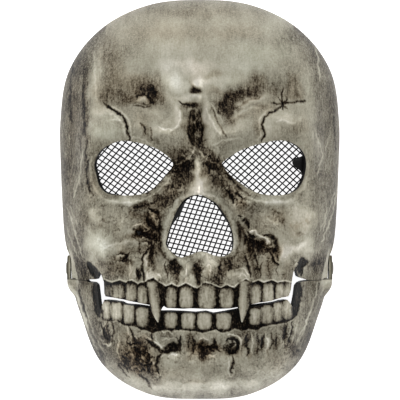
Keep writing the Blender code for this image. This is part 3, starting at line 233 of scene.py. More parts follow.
pits = asRows("x y wide high tilt edge tone rise tint", [
    (-35.7, -19, 2, 1.8, 0, 3, -0.3, -1, 0.3), (-27.7, -9.5, 1.4, 1.2, 0, 2, 0.28, 0.3, 0.3),
    (-25.9, -14.8, 1.1, 1.2, 0, 2, 0.22, 0.2, 0.3), (-27.1, -20.2, 1.1, 1, 0, 2, 0.22, 0.2, 0.3),
    (-25.9, -23.7, 1.1, 1, 0, 2, 0.2, 0.2, 0.3), (-29.5, -13.6, 1.8, 1.2, 0, 2, -0.2, -0.3, 0.4),
    (44.4, -7.1, 1.2, 1, 0, 2, -0.2, 0, 0.4), (49.3, -13.6, 1.5, 1.3, 20, 2, -0.24, 0, 0.4),
    (59.4, -20.8, 1.8, 0.8, 10, 2, -0.22, 0, 0.4), (64.6, -13.1, 1, 1.4, 0, 2, -0.14, 0, 0.4),
    (54.1, -16, 0.8, 0.7, 0, 2, -0.16, 0, 0.4), (40.5, -10.7, 0.8, 0.8, 0, 2, -0.12, 0, 0.3),
    (-59.3, -16, 1.2, 1, 0, 2, -0.14, 0, 0.3), (-56.8, -12.5, 0.8, 0.8, 0, 2, -0.1, 0, 0.3),
    (-63.6, -17.3, 1, 0.8, 0, 2, -0.1, 0, 0.3), (-43.8, -35.1, 1.2, 2, 0, 2.5, -0.26, -0.5, 0.3),
    (-40.2, -37.4, 1, 1.8, 0, 2.5, -0.2, -0.3, 0.3), (-50.4, -35.1, 1.4, 1.1, 0, 2, -0.2, -0.3, 0.3),
    (-52.3, -38.7, 1.2, 1, 0, 2, -0.14, -0.2, 0.3), (-46.7, -31.5, 1.8, 1, 0, 2, -0.2, -0.3, 0.4),
    (-14.7, -87.4, 1.5, 1.2, 0, 2.5, -0.3, -0.8, 0), (-20.1, -88.7, 1.2, 1.2, 0, 2, -0.3, -0.5, 0),
    (-12.9, -91, 1, 1.4, 0, 2, -0.2, -0.3, 0), (19.2, -83.6, 1.2, 1.2, 0, 2, 0.2, 0.4, -0.2),
    (18, -88.1, 1, 1.1, 0, 2, -0.3, -0.6, 0.2), (22.2, -85, 0.8, 1.2, 0, 2, -0.3, -0.5, 0.2),
    (19.8, -91.7, 1.1, 1.4, 0, 2, -0.2, -0.4, 0.2), (23.9, -81.2, 1.1, 1, 0, 2, -0.2, -0.3, 0.2),
    (0.8, -85.4, 1.4, 1.4, 0, 2, -0.2, 0, 0.6), (4.9, -91.5, 1.8, 1.4, 0, 2, -0.16, 0, 0.6),
    (-2.2, -89.7, 1.2, 1.8, 0, 2, 0.1, 0, 0.4), (8.5, -85.4, 1.2, 1.8, 0, 2, -0.2, 0, 0.5),
    (7.3, -93.9, 3.6, 0.8, 5, 2.5, 0.14, 0, 0.3), (-38.1, -85.4, 1.8, 1.2, 0, 2, -0.2, 0, 0.5),
    (-35.1, -91.5, 1.2, 1.8, 0, 2, -0.2, -0.2, 0.5), (-41.8, -91.8, 1.4, 1.2, 0, 2, -0.2, 0, 0.5),
    (-30.9, -95, 1.2, 1.8, 0, 2, -0.18, -0.2, 0.5), (-45.7, -98.4, 1.4, 1.2, 0, 2, -0.16, 0, 0.5),
    (-28.5, -90.1, 1, 1.8, 0, 2, 0.14, 0.2, 0.2), (-32.2, -98.8, 1.4, 1.2, 0, 2, -0.16, 0, 0.5),
    (-39.5, -96.7, 1.2, 1.2, 0, 2, 0.08, 0, 0.3), (-37.2, -104.4, 1.8, 1.2, 0, 2, -0.12, 0, 0.5),
    (-14.1, -96.9, 0.7, 0.7, 0, 2, -0.3, -0.3, 0.2), (-18.9, -94.6, 0.6, 0.6, 0, 2, -0.24, -0.3, 0.2),
    (-9.9, -100.5, 0.6, 0.6, 0, 2, -0.2, -0.2, 0.2), (-1, -98, 0.6, 0.6, 0, 2, -0.16, -0.2, 0.2),
    (-16.5, -101.9, 0.8, 0.6, 0, 2, 0.1, 0.2, 0), (-5.8, -96.8, 1.8, 0.6, 0, 2, 0.1, 0.2, 0),
    (-30.5, -41.9, 0.7, 2.4, 0, 2.5, -0.16, -0.2, 0.3), (5.5, -45.2, 0.6, 2.4, 0, 2.5, -0.1, -0.2, 0.3),
    (-8, -47.6, 0.7, 2.4, 0, 2.5, -0.06, -0.1, 0.3), (52.6, -88.6, 1.2, 2.4, 15, 2.5, -0.18, -0.2, 0.4),
    (41, -91.8, 1.2, 3, 0, 2.5, -0.12, -0.2, 0.4), (33.7, -90.3, 1.2, 3, 0, 2.5, -0.12, -0.2, 0.4),
    (55.8, -87.7, 1.2, 3, 20, 2.5, -0.2, -0.2, 0.4), (30.1, -93.8, 1.2, 2.4, 0, 2.5, -0.1, 0, 0.4),
    (15.6, 53.9, 1.4, 1.8, 0, 2.5, 0.14, 0.3, 0), (19.7, 51.5, 1.2, 1.4, 0, 2.5, -0.2, -0.4, 0.3),
    (23.9, 52.7, 1.4, 1.1, 0, 2.5, -0.14, -0.3, 0.3), (11.4, 51.4, 1.2, 1.5, 20, 2.5, -0.22, -0.5, 0.3),
    (-28.3, 57.6, 1.8, 1, -20, 2.5, -0.2, -0.3, 0.3), (-33.1, 56.5, 3, 0.7, -10, 2.5, -0.2, -0.3, 0.3),
    (-26, 63.7, 1.2, 1.8, 0, 2, -0.14, 0, 0.3), (-38, 63.8, 1.5, 1.2, 0, 2, -0.12, 0, 0.3),
    (-2.2, 67.8, 1.4, 1.2, 0, 2, 0.1, 0.2, 0),
])

# dark lines are fine crevices, darkened with wash and painted shade; light lines are painted highlights along ridges
# and edges
cracksAndHighlights = asRows("width tone rise tint points", [
    (0.55, -0.62, -1.0, 0.3, [(-57.2, 58), (-54.5, 54.9), (-49.5, 52.3), (-46.7, 49.8), (-44.5, 46.8),
      (-43.1, 43.1), (-43, 39.6), (-41.8, 36.7), (-41.2, 34.3)]),
    (0.5, 0.22, 0.3, 0.1, [(-55.2, 52.4), (-50.9, 49.9), (-47.8, 47.4), (-45.7, 44.4), (-44.8, 40.2),
      (-43.6, 36.1)]),
    (0.5, 0.2, 0.3, 0.1, [(-53.5, 55.8), (-48.6, 53.2), (-44.3, 49.8), (-41.5, 45.5), (-40.6, 40.8), (-40, 35.5)]),
    (0.55, -0.5, -0.7, 0.3, [(36.8, 34.3), (38.6, 38.4), (37.7, 41.3), (37, 44), (38.6, 48.2), (41.7, 50.7),
      (45.3, 52.6), (48.4, 55.4)]),
    (0.5, 0.2, 0.3, 0.1, [(35, 34.9), (36.2, 38.4), (35.3, 42.5), (35.6, 46.1), (37.5, 49.7), (43, 54.1)]),
    (0.5, -0.42, -0.5, 0.3, [(42.5, 57.8), (46, 56.6), (49.7, 57.2), (54.5, 57.9), (58.8, 58.3), (63.2, 58.8)]),
    (0.45, -0.42, -0.5, 0.3, [(49.6, 53.6), (49.4, 57.2), (48.8, 61.5), (50.4, 66.4)]),
    (0.5, -0.5, -0.6, 0.3, [(47.8, 54.1), (50.3, 57.2), (51.5, 59.7)]),
    (0.45, 0.16, 0.2, 0.1, [(47.9, 60.3), (50.1, 63.3), (51.3, 65.8)]),
    (0.4, -0.3, -0.3, 0.3, [(46.1, 60.9), (47.9, 59), (50.2, 55.4), (52, 53.6)]),
    (0.4, 0.42, 0.4, 0.1, [(-2.2, 53.4), (-2.5, 50.4), (-1.6, 47.4), (-2.8, 45), (-1.9, 41.4), (-2.8, 37.8),
      (-2.2, 34.2)]),
    (0.35, 0.4, 0.3, 0.1, [(-4.6, 45.5), (-2.8, 45), (-0.4, 46)]),
    (0.35, 0.3, 0.2, 0.1, [(-4, 43.1), (-1.6, 47.4)]),
    (0.35, 0.3, 0.2, 0.1, [(-4, 36), (-1.6, 33.7)]),
    (0.5, -0.5, -0.6, 0.3, [(-12.9, 58.1), (-9.3, 56.2), (-5.7, 55.4), (-2.2, 56.4)]),
    (0.5, -0.3, -0.4, 0.3, [(0.2, 52.8), (0.8, 46.8), (1.7, 40.8), (0.8, 34.9)]),
    (0.5, -0.3, -0.4, 0.3, [(-5.4, 52.7), (-6, 46.7), (-6.9, 40.7), (-5.7, 34.8), (-2.8, 31.3)]),
    (0.5, 0.46, 0.6, 0.1, [(-2.8, 30.7), (-3.9, 27.1), (-6.3, 24.2), (-9.9, 21.8), (-14, 20.4)]),
    (0.45, 0.32, 0.5, 0.1, [(-1.6, 30.7), (0.8, 26.5), (3.7, 23.6), (7.8, 21.5), (12, 20.7)]),
    (0.6, -0.3, -0.4, 0.3, [(-3.9, 23), (-6.9, 20), (-11.1, 17.7)]),
    (0.6, -0.3, -0.4, 0.3, [(1.9, 21.8), (5.5, 19.1), (10.2, 17.7)]),
    (0.5, 0.26, 0.3, 0, [(-52.6, 46.9), (-49, 47.1), (-46, 46.2)]),
    (0.45, 0.28, 0.3, 0, [(45.1, 45.6), (49.4, 46.8), (53.6, 45.4), (57.2, 44.6)]),
    (0.6, 0.3, 0.4, 0, [(-24, 42.4), (-21, 40.6), (-16.3, 40.9), (-12.2, 43.6), (-11, 47.8), (-11.6, 52)]),
    (0.5, 0.2, 0.3, 0, [(-43.6, 35.5), (-38.8, 36.6), (-34.1, 35.1), (-29.4, 32.5), (-25.2, 30.1)]),
    (0.5, 0.2, 0.3, 0, [(7.2, 31.2), (13.1, 34.1), (19, 35), (24.9, 35.9)]),
    (0.5, 0.2, 0.3, 0, [(3.7, 53.9), (6.1, 47.9), (9, 42.4), (11.9, 37.1)]),
    (0.5, -0.2, -0.3, 0.3, [(7.3, 53.8), (9.6, 47.8), (12.5, 41.8), (15.5, 37.1)]),
    (0.5, 0.2, 0.2, 0, [(6.7, 57.5), (9.6, 51.4), (13.1, 45.4)]),
    (0.45, -0.3, -0.3, 0.3, [(-39.1, 55.9), (-34.3, 54.9), (-29.5, 55.2)]),
    (0.5, -0.34, -0.4, 0.3, [(-37.9, 59.2), (-36.2, 61.7), (-32.6, 61.9), (-29.6, 60.1), (-27.2, 57.3)]),
    (0.5, -0.25, -0.3, 0.3, [(-35.3, 45.5), (-32.9, 41.9), (-31.7, 37.2)]),
    (0.5, -0.25, -0.3, 0.3, [(-28.7, 41.8), (-28.7, 38.3), (-27.6, 34.2)]),
    (0.5, -0.2, -0.3, 0.3, [(20.3, 52.7), (26.3, 56.4), (32.3, 59.5), (37.1, 60.8)]),
    (0.5, 0.18, 0.2, 0, [(19.1, 46.6), (23.9, 50.9), (29.8, 53.7), (37, 54.6)]),
    (0.9, 0.14, 0.4, 0.1, [(-64.2, 25.6), (-65.6, 19.7), (-65.1, 12.6), (-62.6, 5.4), (-57.6, 0.6),
      (-50.8, -1.8), (-42.4, -2.4), (-34.1, -0.6)]),
    (0.9, 0.12, 0.4, 0.1, [(63.3, 29.2), (64.6, 22.1), (64.2, 13.8), (61.7, 6.6), (56.7, 0.6), (50, -1.8),
      (40.4, -1.8), (30.9, 0)]),
    (0.7, -0.3, -0.4, 0.3, [(-15.2, 19.5), (-18.8, 16), (-23, 11.9), (-26.5, 7.7), (-31.2, 3.6)]),
    (0.7, -0.24, -0.3, 0.3, [(14.4, 17.2), (18, 13.1), (21.5, 8.9), (25.6, 4.7), (29.8, 1.8)]),
    (0.5, 0.2, 0.3, 0.1, [(-14, 17.2), (-17.6, 12.5), (-21.8, 7.7), (-26.5, 3.6), (-31.2, 0)]),
    (0.5, 0.14, 0.3, 0.1, [(13.2, 16), (16.8, 10.7), (20.9, 5.9), (25.6, 1.8)]),
    (0.6, -0.24, -0.3, 0.2, [(-66.8, 23.3), (-68.2, 16.2), (-67, 7.8), (-63.8, 1.8)]),
    (1.0, -0.8, -0.9, 0.3, [(17.1, 4.4), (18.9, 0.9), (20, -2.4)]),
    (0.6, -0.5, -0.5, 0.3, [(21.5, 3.6), (23.9, 1.8), (25.6, 0.2)]),
    (0.45, 0.26, 0.3, 0.1, [(16.8, 4.1), (18.5, -0.6), (21.5, -4.7)]),
    (0.6, -0.8, -0.8, 0.4, [(22.7, -10.3), (25.1, -10.7)]),
    (1.1, -0.9, -1.0, 0.4, [(25.4, -13), (27.2, -12.2), (28.1, -14.2), (28.7, -17.2)]),
    (0.9, -0.8, -0.8, 0.5, [(28.4, -19.6), (30.5, -21.8), (33.5, -22.9)]),
    (1.2, -0.8, -0.9, 0.5, [(38.7, -21.6), (42.3, -22.2), (45, -24.3), (45.8, -28.2), (44.1, -31.5)]),
    (1.2, -0.5, -0.5, 0.7, [(29.9, -24.4), (34.1, -26.5), (38.2, -28.2)]),
    (0.6, -0.6, -0.6, 0.5, [(32.3, -24.4), (34.4, -26.8), (35.3, -30.3)]),
    (0.6, 0.6, 0.7, 0.1, [(29.8, -19.9), (32, -18.9), (34, -20.6), (36.4, -22.6), (38.7, -22.9), (40.9, -25.3),
      (42.9, -28.1)]),
    (0.5, 0.5, 0.5, 0.1, [(39.7, -24.7), (40.8, -26.9), (42.3, -28.8)]),
    (0.45, 0.24, 0.3, 0.1, [(25.6, -9.5), (28, -12.5), (30.2, -17.2)]),
    (0.6, -0.85, -0.8, 0.4, [(41.8, -32.1), (43.6, -35.1), (45.6, -37.8), (47.2, -39.6)]),
    (0.8, 0.3, 0.5, 0.1, [(43.9, -32.7), (45.7, -35.3), (47.8, -38.4)]),
    (0.5, -0.3, -0.4, 0.4, [(23.9, -16), (25.7, -19.6), (27.5, -23.8), (26.3, -28.5)]),
    (0.5, 0.2, 0.3, 0.1, [(21.5, -19.5), (22.7, -24.3), (23.9, -30.2)]),
    (0.9, 0.16, 0.3, 0, [(-56.6, -29.4), (-53.9, -27.9), (-49.3, -26.7), (-44.3, -25.5), (-40.5, -24.9)]),
    (0.5, -0.5, -0.6, 0.4, [(-49.4, -32.9), (-47.3, -32.4), (-44.1, -32.7)]),
    (1.0, 0.26, 0.5, 0.1, [(-51, -36.2), (-48, -34.5), (-45, -33.1)]),
    (0.9, -0.4, -0.4, 0.4, [(-46.2, -36.3), (-43.8, -34.5), (-41.4, -32.1)]),
    (1.2, -0.7, -0.8, 0.5, [(-39.7, -18.1), (-37.2, -19), (-34.9, -22.6)]),
    (1.3, -0.6, -0.5, 0.6, [(-33.7, -20.8), (-30.1, -22), (-26.5, -22.3), (-24.7, -24.9)]),
    (1.0, -0.5, -0.5, 0.6, [(-30.6, -7.7), (-31.8, -11.3), (-30.1, -14.8), (-27.1, -16), (-24.7, -19)]),
    (0.8, -0.5, -0.4, 0.6, [(-29.4, -5.9), (-26.5, -6.5), (-24.4, -8.9)]),
    (0.5, 0.34, 0.5, 0.2, [(-28.9, -9.5), (-27.1, -11), (-25.6, -13.6)]),
    (0.5, 0.3, 0.4, 0.2, [(-33.7, -25), (-31.3, -26.8), (-28.3, -28.5)]),
    (1.0, -0.5, -0.4, 0.5, [(-35.5, -26.1), (-36.1, -29.7), (-34.9, -32.7)]),
    (0.6, 0.42, 0.6, 0.2, [(-39.2, -16.2), (-37.2, -15.4), (-34.8, -15.4), (-31.9, -16.6), (-30.1, -17.6)]),
    (0.55, 0.42, 0.6, 0.2, [(-36.6, -17.7), (-34.5, -19.6), (-32.1, -19), (-30.3, -17.8)]),
    (0.55, 0.26, 0.4, 0.2, [(-29.4, -8.3), (-26.5, -7.7), (-24.7, -10.1), (-24.7, -14.2)]),
    (0.55, -0.4, -0.5, 0.5, [(-28.2, -7.1), (-24.7, -8.9), (-23.5, -13.6), (-24.1, -19.6), (-23.5, -25.5)]),
    (0.5, -0.3, -0.4, 0.4, [(-39.6, -23.1), (-36.7, -24.9), (-31.9, -25), (-28.3, -27.3)]),
    (0.5, 0.24, 0.4, 0.2, [(-37.8, -22.6), (-34.3, -23.2), (-30.1, -22)]),
    (0.6, -0.7, -0.8, 0.4, [(-30.8, -29.4), (-32.3, -31.5), (-33.8, -35.3), (-34.2, -39.7), (-32.9, -44),
      (-32.5, -49)]),
    (0.5, 0.3, 0.4, 0.1, [(-30.1, -30.3), (-31.4, -32.7), (-32.3, -35.6), (-31.5, -39.6)]),
    (0.8, -0.4, -0.4, 0.4, [(-28, -27.9), (-29.5, -31.5), (-30.3, -35.6), (-30, -39.6)]),
    (0.6, -0.3, -0.4, 0.4, [(-27.7, -30.3), (-28.8, -34.9), (-28.2, -40.7)]),
    (0.7, -0.6, -0.6, 0.4, [(27.1, -33.2), (28.1, -37.5), (29.6, -42.5), (30.2, -46)]),
    (0.6, -0.3, -0.3, 0.4, [(32.3, -31.5), (34, -36.2), (34.5, -40.9)]),
    (0.5, -0.3, -0.4, 0.3, [(40.6, -35.1), (40.6, -39.8), (41.7, -45.7)]),
    (0.5, 0.2, 0.3, 0.1, [(28.6, -34.9), (29.7, -39.6), (32.1, -44.3)]),
    (0.6, -0.4, -0.4, 0.3, [(46, -41.1), (46.6, -45.8)]),
    (0.9, -0.7, -0.6, 0.5, [(-36.8, -41.5), (-36.5, -44.4), (-36.1, -47.1)]),
    (1.2, -0.7, -0.6, 0.5, [(-15.4, -37.1), (-14.8, -40.6), (-14.5, -44.1)]),
    (1.3, -0.8, -0.6, 0.5, [(-1.6, -38.2), (-0.8, -41.7), (-1, -46.4), (-0.4, -49.9)]),
    (0.6, -0.5, -0.4, 0.4, [(-20.7, -37.1), (-20.1, -41.8), (-18.6, -45.8)]),
    (0.7, -0.5, -0.4, 0.4, [(12.5, -37.1), (11.9, -41.7), (13.1, -46.4)]),
    (0.8, -0.5, -0.4, 0.4, [(16.7, -34.7), (18.4, -38.3), (17.2, -41.8)]),
    (0.45, 0.4, 0.4, 0.1, [(-28.2, -40.7), (-30.5, -42.5), (-31.3, -45.4), (-29.3, -47.1)]),
    (0.45, 0.4, 0.4, 0.1, [(-26.3, -43.6), (-24, -44.7), (-22.8, -47.1)]),
    (0.45, 0.36, 0.4, 0.1, [(21.4, -41.8), (24.3, -40.7), (27.3, -41.9), (29.1, -44.8)]),
    (0.45, 0.3, 0.3, 0.1, [(22.5, -45.3), (25.5, -43.6), (27.9, -45.9)]),
    (0.5, -0.4, -0.4, 0.3, [(37, -37.4), (35.7, -42), (36.8, -46.7)]),
    (0.45, 0.3, 0.3, 0.1, [(-41.4, -37.4), (-40.8, -42.1), (-41.3, -46.3)]),
    (0.45, 0.3, 0.3, 0.1, [(-8.1, -37), (-7.5, -42.9), (-8, -47.6)]),
    (0.45, 0.3, 0.3, 0.1, [(6.1, -37.1), (6.6, -42.9), (6, -47.6)]),
    (1.5, 0.26, 0.5, -0.5, [(-12.8, -0.6), (-17, -7.7), (-19.9, -14.8), (-21.1, -21.9), (-20.5, -28.3),
      (-17.5, -33), (-12.8, -35.9)]),
    (1.3, 0.2, 0.5, -0.2, [(8.4, 1.8), (13.2, -2.4), (17.3, -8.9), (19.7, -16), (20.9, -24.2), (19.6, -30.1),
      (15.5, -34.1)]),
    (1.1, 0.2, 0.4, 0.1, [(-11.6, 0), (-7.5, 2.4), (-2.2, 3.3), (3.7, 2.9), (8.4, 1.2)]),
    (0.9, -0.3, -0.3, 0.4, [(-22.9, -14.8), (-23.8, -21.9), (-23.2, -29), (-20.5, -34.8), (-15.7, -38.3)]),
    (0.9, -0.26, -0.3, 0.3, [(22.7, -13.6), (23.9, -20.7), (23.6, -27.8), (20.8, -33.6), (16.7, -37.1)]),
    (0.7, 0.24, 0.4, 0.1, [(-10.4, -34.7), (-6.9, -32.4), (-3.4, -30.6), (0.8, -29.8), (4.9, -30.6), (9, -33)]),
    # from here on, the light lines with no rise run down the side walls: painted reflections of the lamps
    (0.7, 0.4, 0, -0.2, [(-70.1, 31.8), (-70.4, 25.8), (-71.6, 18.1), (-73.7, 9.7), (-77.1, 0.6)]),
    (0.45, 0.3, 0, -0.2, [(-72.9, 23.6), (-73.7, 13.9), (-76.4, 5.5)]),
    (0.6, 0.42, 0, -0.2, [(-82.2, -4.3), (-79.9, -9.2), (-77, -15.2), (-75.1, -22.5), (-72.6, -29.7),
      (-70.8, -35.8)]),
    (0.5, 0.4, 0, -0.2, [(-82.4, -16.6), (-79.5, -23.9), (-76.1, -31.1), (-72.9, -37.1)]),
    (0.45, 0.3, 0, -0.2, [(-79.2, -4.3), (-75.5, -11.5), (-72.9, -18.7)]),
    (0.7, 0.46, 0, -0.3, [(71.3, 95.1), (72.2, 88), (73, 80.2), (73.7, 72.5)]),
    (0.5, 0.3, 0, -0.3, [(69.2, 97.6), (71.8, 90.8), (73.3, 84.1)]),
    (0.5, 0.36, 0, -0.3, [(69.9, 39.1), (72.6, 32), (74.8, 26.7), (72.7, 19.9), (70, 10.8)]),
    (0.5, 0.34, 0, -0.3, [(80.4, 43.5), (79, 37.2), (76.5, 29.8)]),
    (0.8, 0.5, 0, -0.2, [(86.1, 11.8), (84.7, 3.1), (82.7, -4.9), (80.4, -12.2), (77.5, -18.9), (74.2, -26.1)]),
    (0.5, 0.4, 0, -0.2, [(83.4, 5.5), (80.4, -4.3), (76.7, -12.7), (74, -20)]),
    (0.5, 0.3, 0, -0.2, [(78.2, -4.3), (75.3, -13.9), (71.3, -22.3)]),
    (1.0, 0.34, 0, 0, [(-74.1, -67.5), (-71.7, -75), (-68.3, -82.1), (-65.1, -89.3), (-61.4, -96.7)]),
    (0.6, 0.3, 0, 0, [(-70.3, -64.4), (-68.5, -73), (-65.3, -81.4), (-61.5, -88.5), (-57.7, -94.5)]),
    (0.6, 0.3, 0, 0, [(-78, -55.2), (-76, -61.3), (-74.1, -67.5)]),
    (0.6, 0.26, 0, -0.2, [(78.1, -47.6), (76.1, -54.9), (73.5, -62.2), (69.6, -70.6)]),
    (0.5, 0.24, 0, -0.2, [(68.7, -66.7), (65.5, -75.1), (63, -82.3), (58.5, -89.3)]),
    (0.5, 0.22, 0, -0.1, [(59.5, -74.4), (57, -82.8), (54, -90)]),
    (0.45, 0.2, 0, 0, [(-64.7, 91.2), (-63.8, 80.6), (-62.4, 69.2), (-61.6, 59.4)]),
    (0.45, 0.16, 0, 0, [(-59.7, 94.7), (-60.4, 84.3), (-59.4, 74.1)]),
    (0.5, 0.18, 0, -0.2, [(65.3, 84.6), (65.5, 74.4), (65.2, 64.4), (64.4, 57)]),
    (0.45, -0.24, 0, 0.3, [(-78.9, 87.3), (-79.1, 73.2), (-79.4, 58.1), (-77.9, 43.3)]),
    (0.5, -0.24, 0, 0.3, [(-70.6, 81.2), (-70.7, 67.3), (-69.8, 52.5), (-68.8, 39)]),
    (0.45, -0.2, 0, 0.2, [(82.2, 65.9), (82.5, 48.5), (83.9, 30.2)]),
    (0.4, 0.3, 0, -0.3, [(-85, 42.6), (-84.2, 32.7), (-82.8, 24)]),
    (0.5, -0.24, 0, 0.3, [(-66.8, 35.3), (-68, 28.1), (-68.8, 19.8)]),
    (1.5, -1.4, -0.5, 0, [(-63.7, -51.6), (-63.1, -58.3), (-62.1, -64.9), (-61.1, -70.6)]),
    (1.5, -1.4, -0.5, 0, [(59.8, -50.7), (59.9, -57.4), (58.6, -64.5), (56.8, -69.6)]),
    # dark hollows under the cheekbones beside the slits: painted shade
    (1.2, -1.2, -0.5, 0, [(-65.7, -40.5), (-63.9, -42.9), (-62.8, -47.2)]),
    (1.0, -1.0, -0.5, 0, [(61.9, -36), (60.7, -41.5), (61.4, -46.3)]),
    (1.2, 0.75, 0, 0, [(-78.6, -51.5), (-76.5, -57.5), (-74.2, -64.9), (-71.5, -72.9), (-68.9, -80.2)]),
    (0.5, -0.4, 0, 0, [(-74.8, -52.2), (-73.6, -58.4), (-71.1, -67), (-68.6, -74.3)]),
    (0.5, 0.3, 0, 0, [(72.4, -50.8), (70.6, -59.4), (67.4, -69.1), (63.6, -78.6), (59.1, -86.8)]),
    (1.0, -0.8, -0.9, 0.3, [(-31.6, -84), (-28.4, -86.2), (-25.5, -88.6), (-22.5, -90.5), (-19.1, -91.7),
      (-17.1, -89.9)]),
    (0.6, -0.7, -0.6, 0.3, [(-28.8, -77.6), (-28.6, -82.6), (-26.6, -87)]),
    (0.45, 0.5, 0.5, 0, [(-31.3, -82.4), (-28, -84.1), (-24.8, -86.7), (-21.9, -88.5)]),
    (1.1, -0.7, -0.6, 0, [(-18.5, -87.4), (-15.9, -85.9), (-13.5, -87.4), (-14.7, -90.2)]),
    (0.9, -0.7, -0.6, 0.3, [(-11.3, -81.6), (-11.1, -86.1), (-11.7, -91)]),
    (0.45, 0.4, 0.4, 0, [(-23.5, -77.4), (-21.1, -79), (-18.7, -78.2), (-16.4, -79.8)]),
    (0.45, 0.36, 0.4, 0, [(-21.8, -84.3), (-20, -82.4), (-17.6, -83.4), (-15.2, -82.3)]),
    (0.45, 0.4, 0.4, 0.1, [(-18.9, -93.8), (-16.7, -92), (-14.7, -93.4), (-12.9, -91.4)]),
    (0.9, -0.6, -0.5, 0.5, [(-38.7, -88), (-36.3, -91.6), (-37.6, -96), (-35.2, -99)]),
    (0.9, -0.6, -0.5, 0.5, [(-32.1, -91.4), (-30.3, -95), (-31.6, -100.1), (-29.8, -103.8)]),
    (0.7, -0.5, -0.4, 0.5, [(-44.1, -85.6), (-41.1, -87.4), (-38.1, -86.1)]),
    (0.7, -0.5, -0.4, 0.5, [(-46.8, -94.6), (-43.8, -97), (-45.2, -101.1), (-42.8, -104.2)]),
    (0.45, 0.4, 0.4, 0.2, [(-34.5, -88.5), (-35.1, -92.8), (-33.6, -96.4)]),
    (0.45, 0.34, 0.4, 0.2, [(-41.2, -90.5), (-40, -94.2), (-41.3, -98.1)]),
    (0.45, 0.34, 0.3, 0.2, [(-49, -79.7), (-48.4, -85.8), (-49.9, -92.2), (-47.5, -97.3)]),
    (0.45, 0.3, 0.3, 0.2, [(-43.3, -75.7), (-42.2, -80.6), (-40.5, -84.3)]),
    (0.6, -0.5, -0.4, 0.4, [(-42.1, -76.9), (-39.8, -80.5), (-38.6, -84.8)]),
    (0.6, -0.4, -0.3, 0.3, [(-52.6, -73.8), (-51.5, -79.9), (-52.8, -86.1)]),
    (0.8, -0.5, -0.3, 0.5, [(-37.3, -105.7), (-34.3, -107.5), (-31.3, -110.8), (-29.7, -116.1)]),
    (0.6, -0.4, -0.3, 0.5, [(-49, -100.1), (-46.1, -105.3), (-41.9, -109.9)]),
    (0.45, 0.26, 0.4, 0, [(-26.5, -80), (-25.4, -84.4), (-23, -87.5), (-20.7, -87.5)]),
    (0.8, -0.8, -0.6, 0.3, [(-23.3, -92.4), (-24.9, -94.8), (-25.7, -98.5), (-25.2, -101.6), (-24.4, -104.8)]),
    (0.45, 0.26, 0.3, 0, [(-23.1, -94.8), (-21.3, -92.9), (-17.1, -91.7), (-12.9, -92.2)]),
    (0.5, 0.2, 0.3, 0, [(-27.3, -94.9), (-27.3, -99.8), (-26.2, -104.2)]),
    (0.7, -0.7, -0.6, 0.3, [(19.5, -93.5), (19.8, -97.1), (18.6, -100.1), (19, -103.9)]),
    (0.8, -0.8, -0.8, 0.3, [(15.6, -84.2), (17.4, -82.3), (20.3, -82.8), (22.8, -85), (23.2, -88.2),
      (21.6, -91.2), (18.6, -91.7), (16.6, -89.3)]),
    (0.45, 0.5, 0.5, 0, [(16.7, -80.4), (19.7, -79.8), (23.3, -81.8), (24.9, -85.7), (24, -90)]),
    (0.45, 0.5, 0.4, 0, [(18, -85.5), (20.1, -84.7), (21.4, -86.9), (19.6, -88.7)]),
    (0.9, -0.7, -0.5, 0.8, [(-1, -86.6), (2, -89.1), (5.5, -88.5), (8.5, -90.4)]),
    (0.8, -0.6, -0.4, 0.8, [(-4, -81.5), (-3, -86.6), (-4.2, -91.5)]),
    (0.7, -0.5, -0.4, 0.6, [(8.5, -82.2), (9.7, -87.3), (12.1, -91)]),
    (0.45, 0.4, 0.4, 0.3, [(-0.4, -83.5), (2.5, -82.2), (5.5, -84.1)]),
    (0.45, 0.4, 0.4, 0.3, [(3.1, -92.7), (6.7, -93.3), (10.3, -92.2)]),
    (0.6, -0.5, -0.4, 0.4, [(28, -80), (27.6, -85.1), (29.4, -90.2), (28.2, -94.3)]),
    (0.45, 0.36, 0.4, 0.1, [(30.4, -78.9), (31.8, -85.2), (30.6, -91.4)]),
    (0.6, -0.45, -0.4, 0.4, [(34.1, -80.2), (35.2, -86.6), (34, -92.7)]),
    (0.45, 0.34, 0.4, 0.1, [(39.2, -79.2), (40.8, -85.5), (39.7, -91.7)]),
    (0.6, -0.45, -0.4, 0.4, [(42.5, -79.4), (43.3, -85.6), (42.2, -90.6)]),
    (0.6, -0.5, -0.4, 0.4, [(56, -74.1), (55.4, -80.2), (53.2, -86.2)]),
    (0.4, 0.26, 0.3, 0, [(16.8, -93.4), (17.4, -98.2), (16.9, -103.2), (18.7, -106.5), (20.5, -102.7)]),
    (0.5, -0.44, -0.6, 0.3, [(-14, -81.6), (-12.3, -85.5), (-12.9, -89.2), (-15.3, -91)]),
    (0.5, 0.24, 0.3, 0, [(-10.5, -83.5), (-10.5, -88.6), (-12.9, -92.8)]),
    (1.0, -0.85, -0.8, 0.2, [(-57.8, -78.6), (-57.2, -81.6), (-55.3, -84.5), (-53.7, -83.1)]),
    (0.5, -0.5, -0.4, 0.2, [(-60.4, -73.9), (-59.1, -77.5), (-57.9, -80.4)]),
    (0.8, 0.3, 0.4, 0.2, [(-58.1, -87.6), (-55.5, -88.6), (-53.5, -86.8)]),
    (0.45, 0.24, 0.4, 0, [(-57.8, -76.7), (-55.9, -80.2), (-54, -83.1), (-52.8, -86.1), (-54.8, -88.9),
      (-58, -87.3)]),
    (0.5, -0.3, -0.3, 0.3, [(38.3, -79.8), (37.8, -84.8), (36.7, -90.4)]),
    (0.5, -0.3, -0.3, 0.3, [(52.4, -75.6), (51.2, -81.1), (49.5, -86.5)]),
    (0.5, 0.2, 0.3, 0, [(54.3, -76.4), (53.8, -81.9), (52, -87.3)]),
    (0.45, -0.3, -0.3, 0.3, [(45.6, -80.7), (45.1, -86.3), (46.5, -90.8)]),
    (0.5, -0.3, -0.3, 0.3, [(-5.7, -79.7), (-6.9, -84.8), (-5.8, -89.7)]),
    (0.45, 0.2, 0.3, 0, [(23.8, -78.7), (25.7, -82.5), (24.6, -86.3), (22.2, -88.8)]),
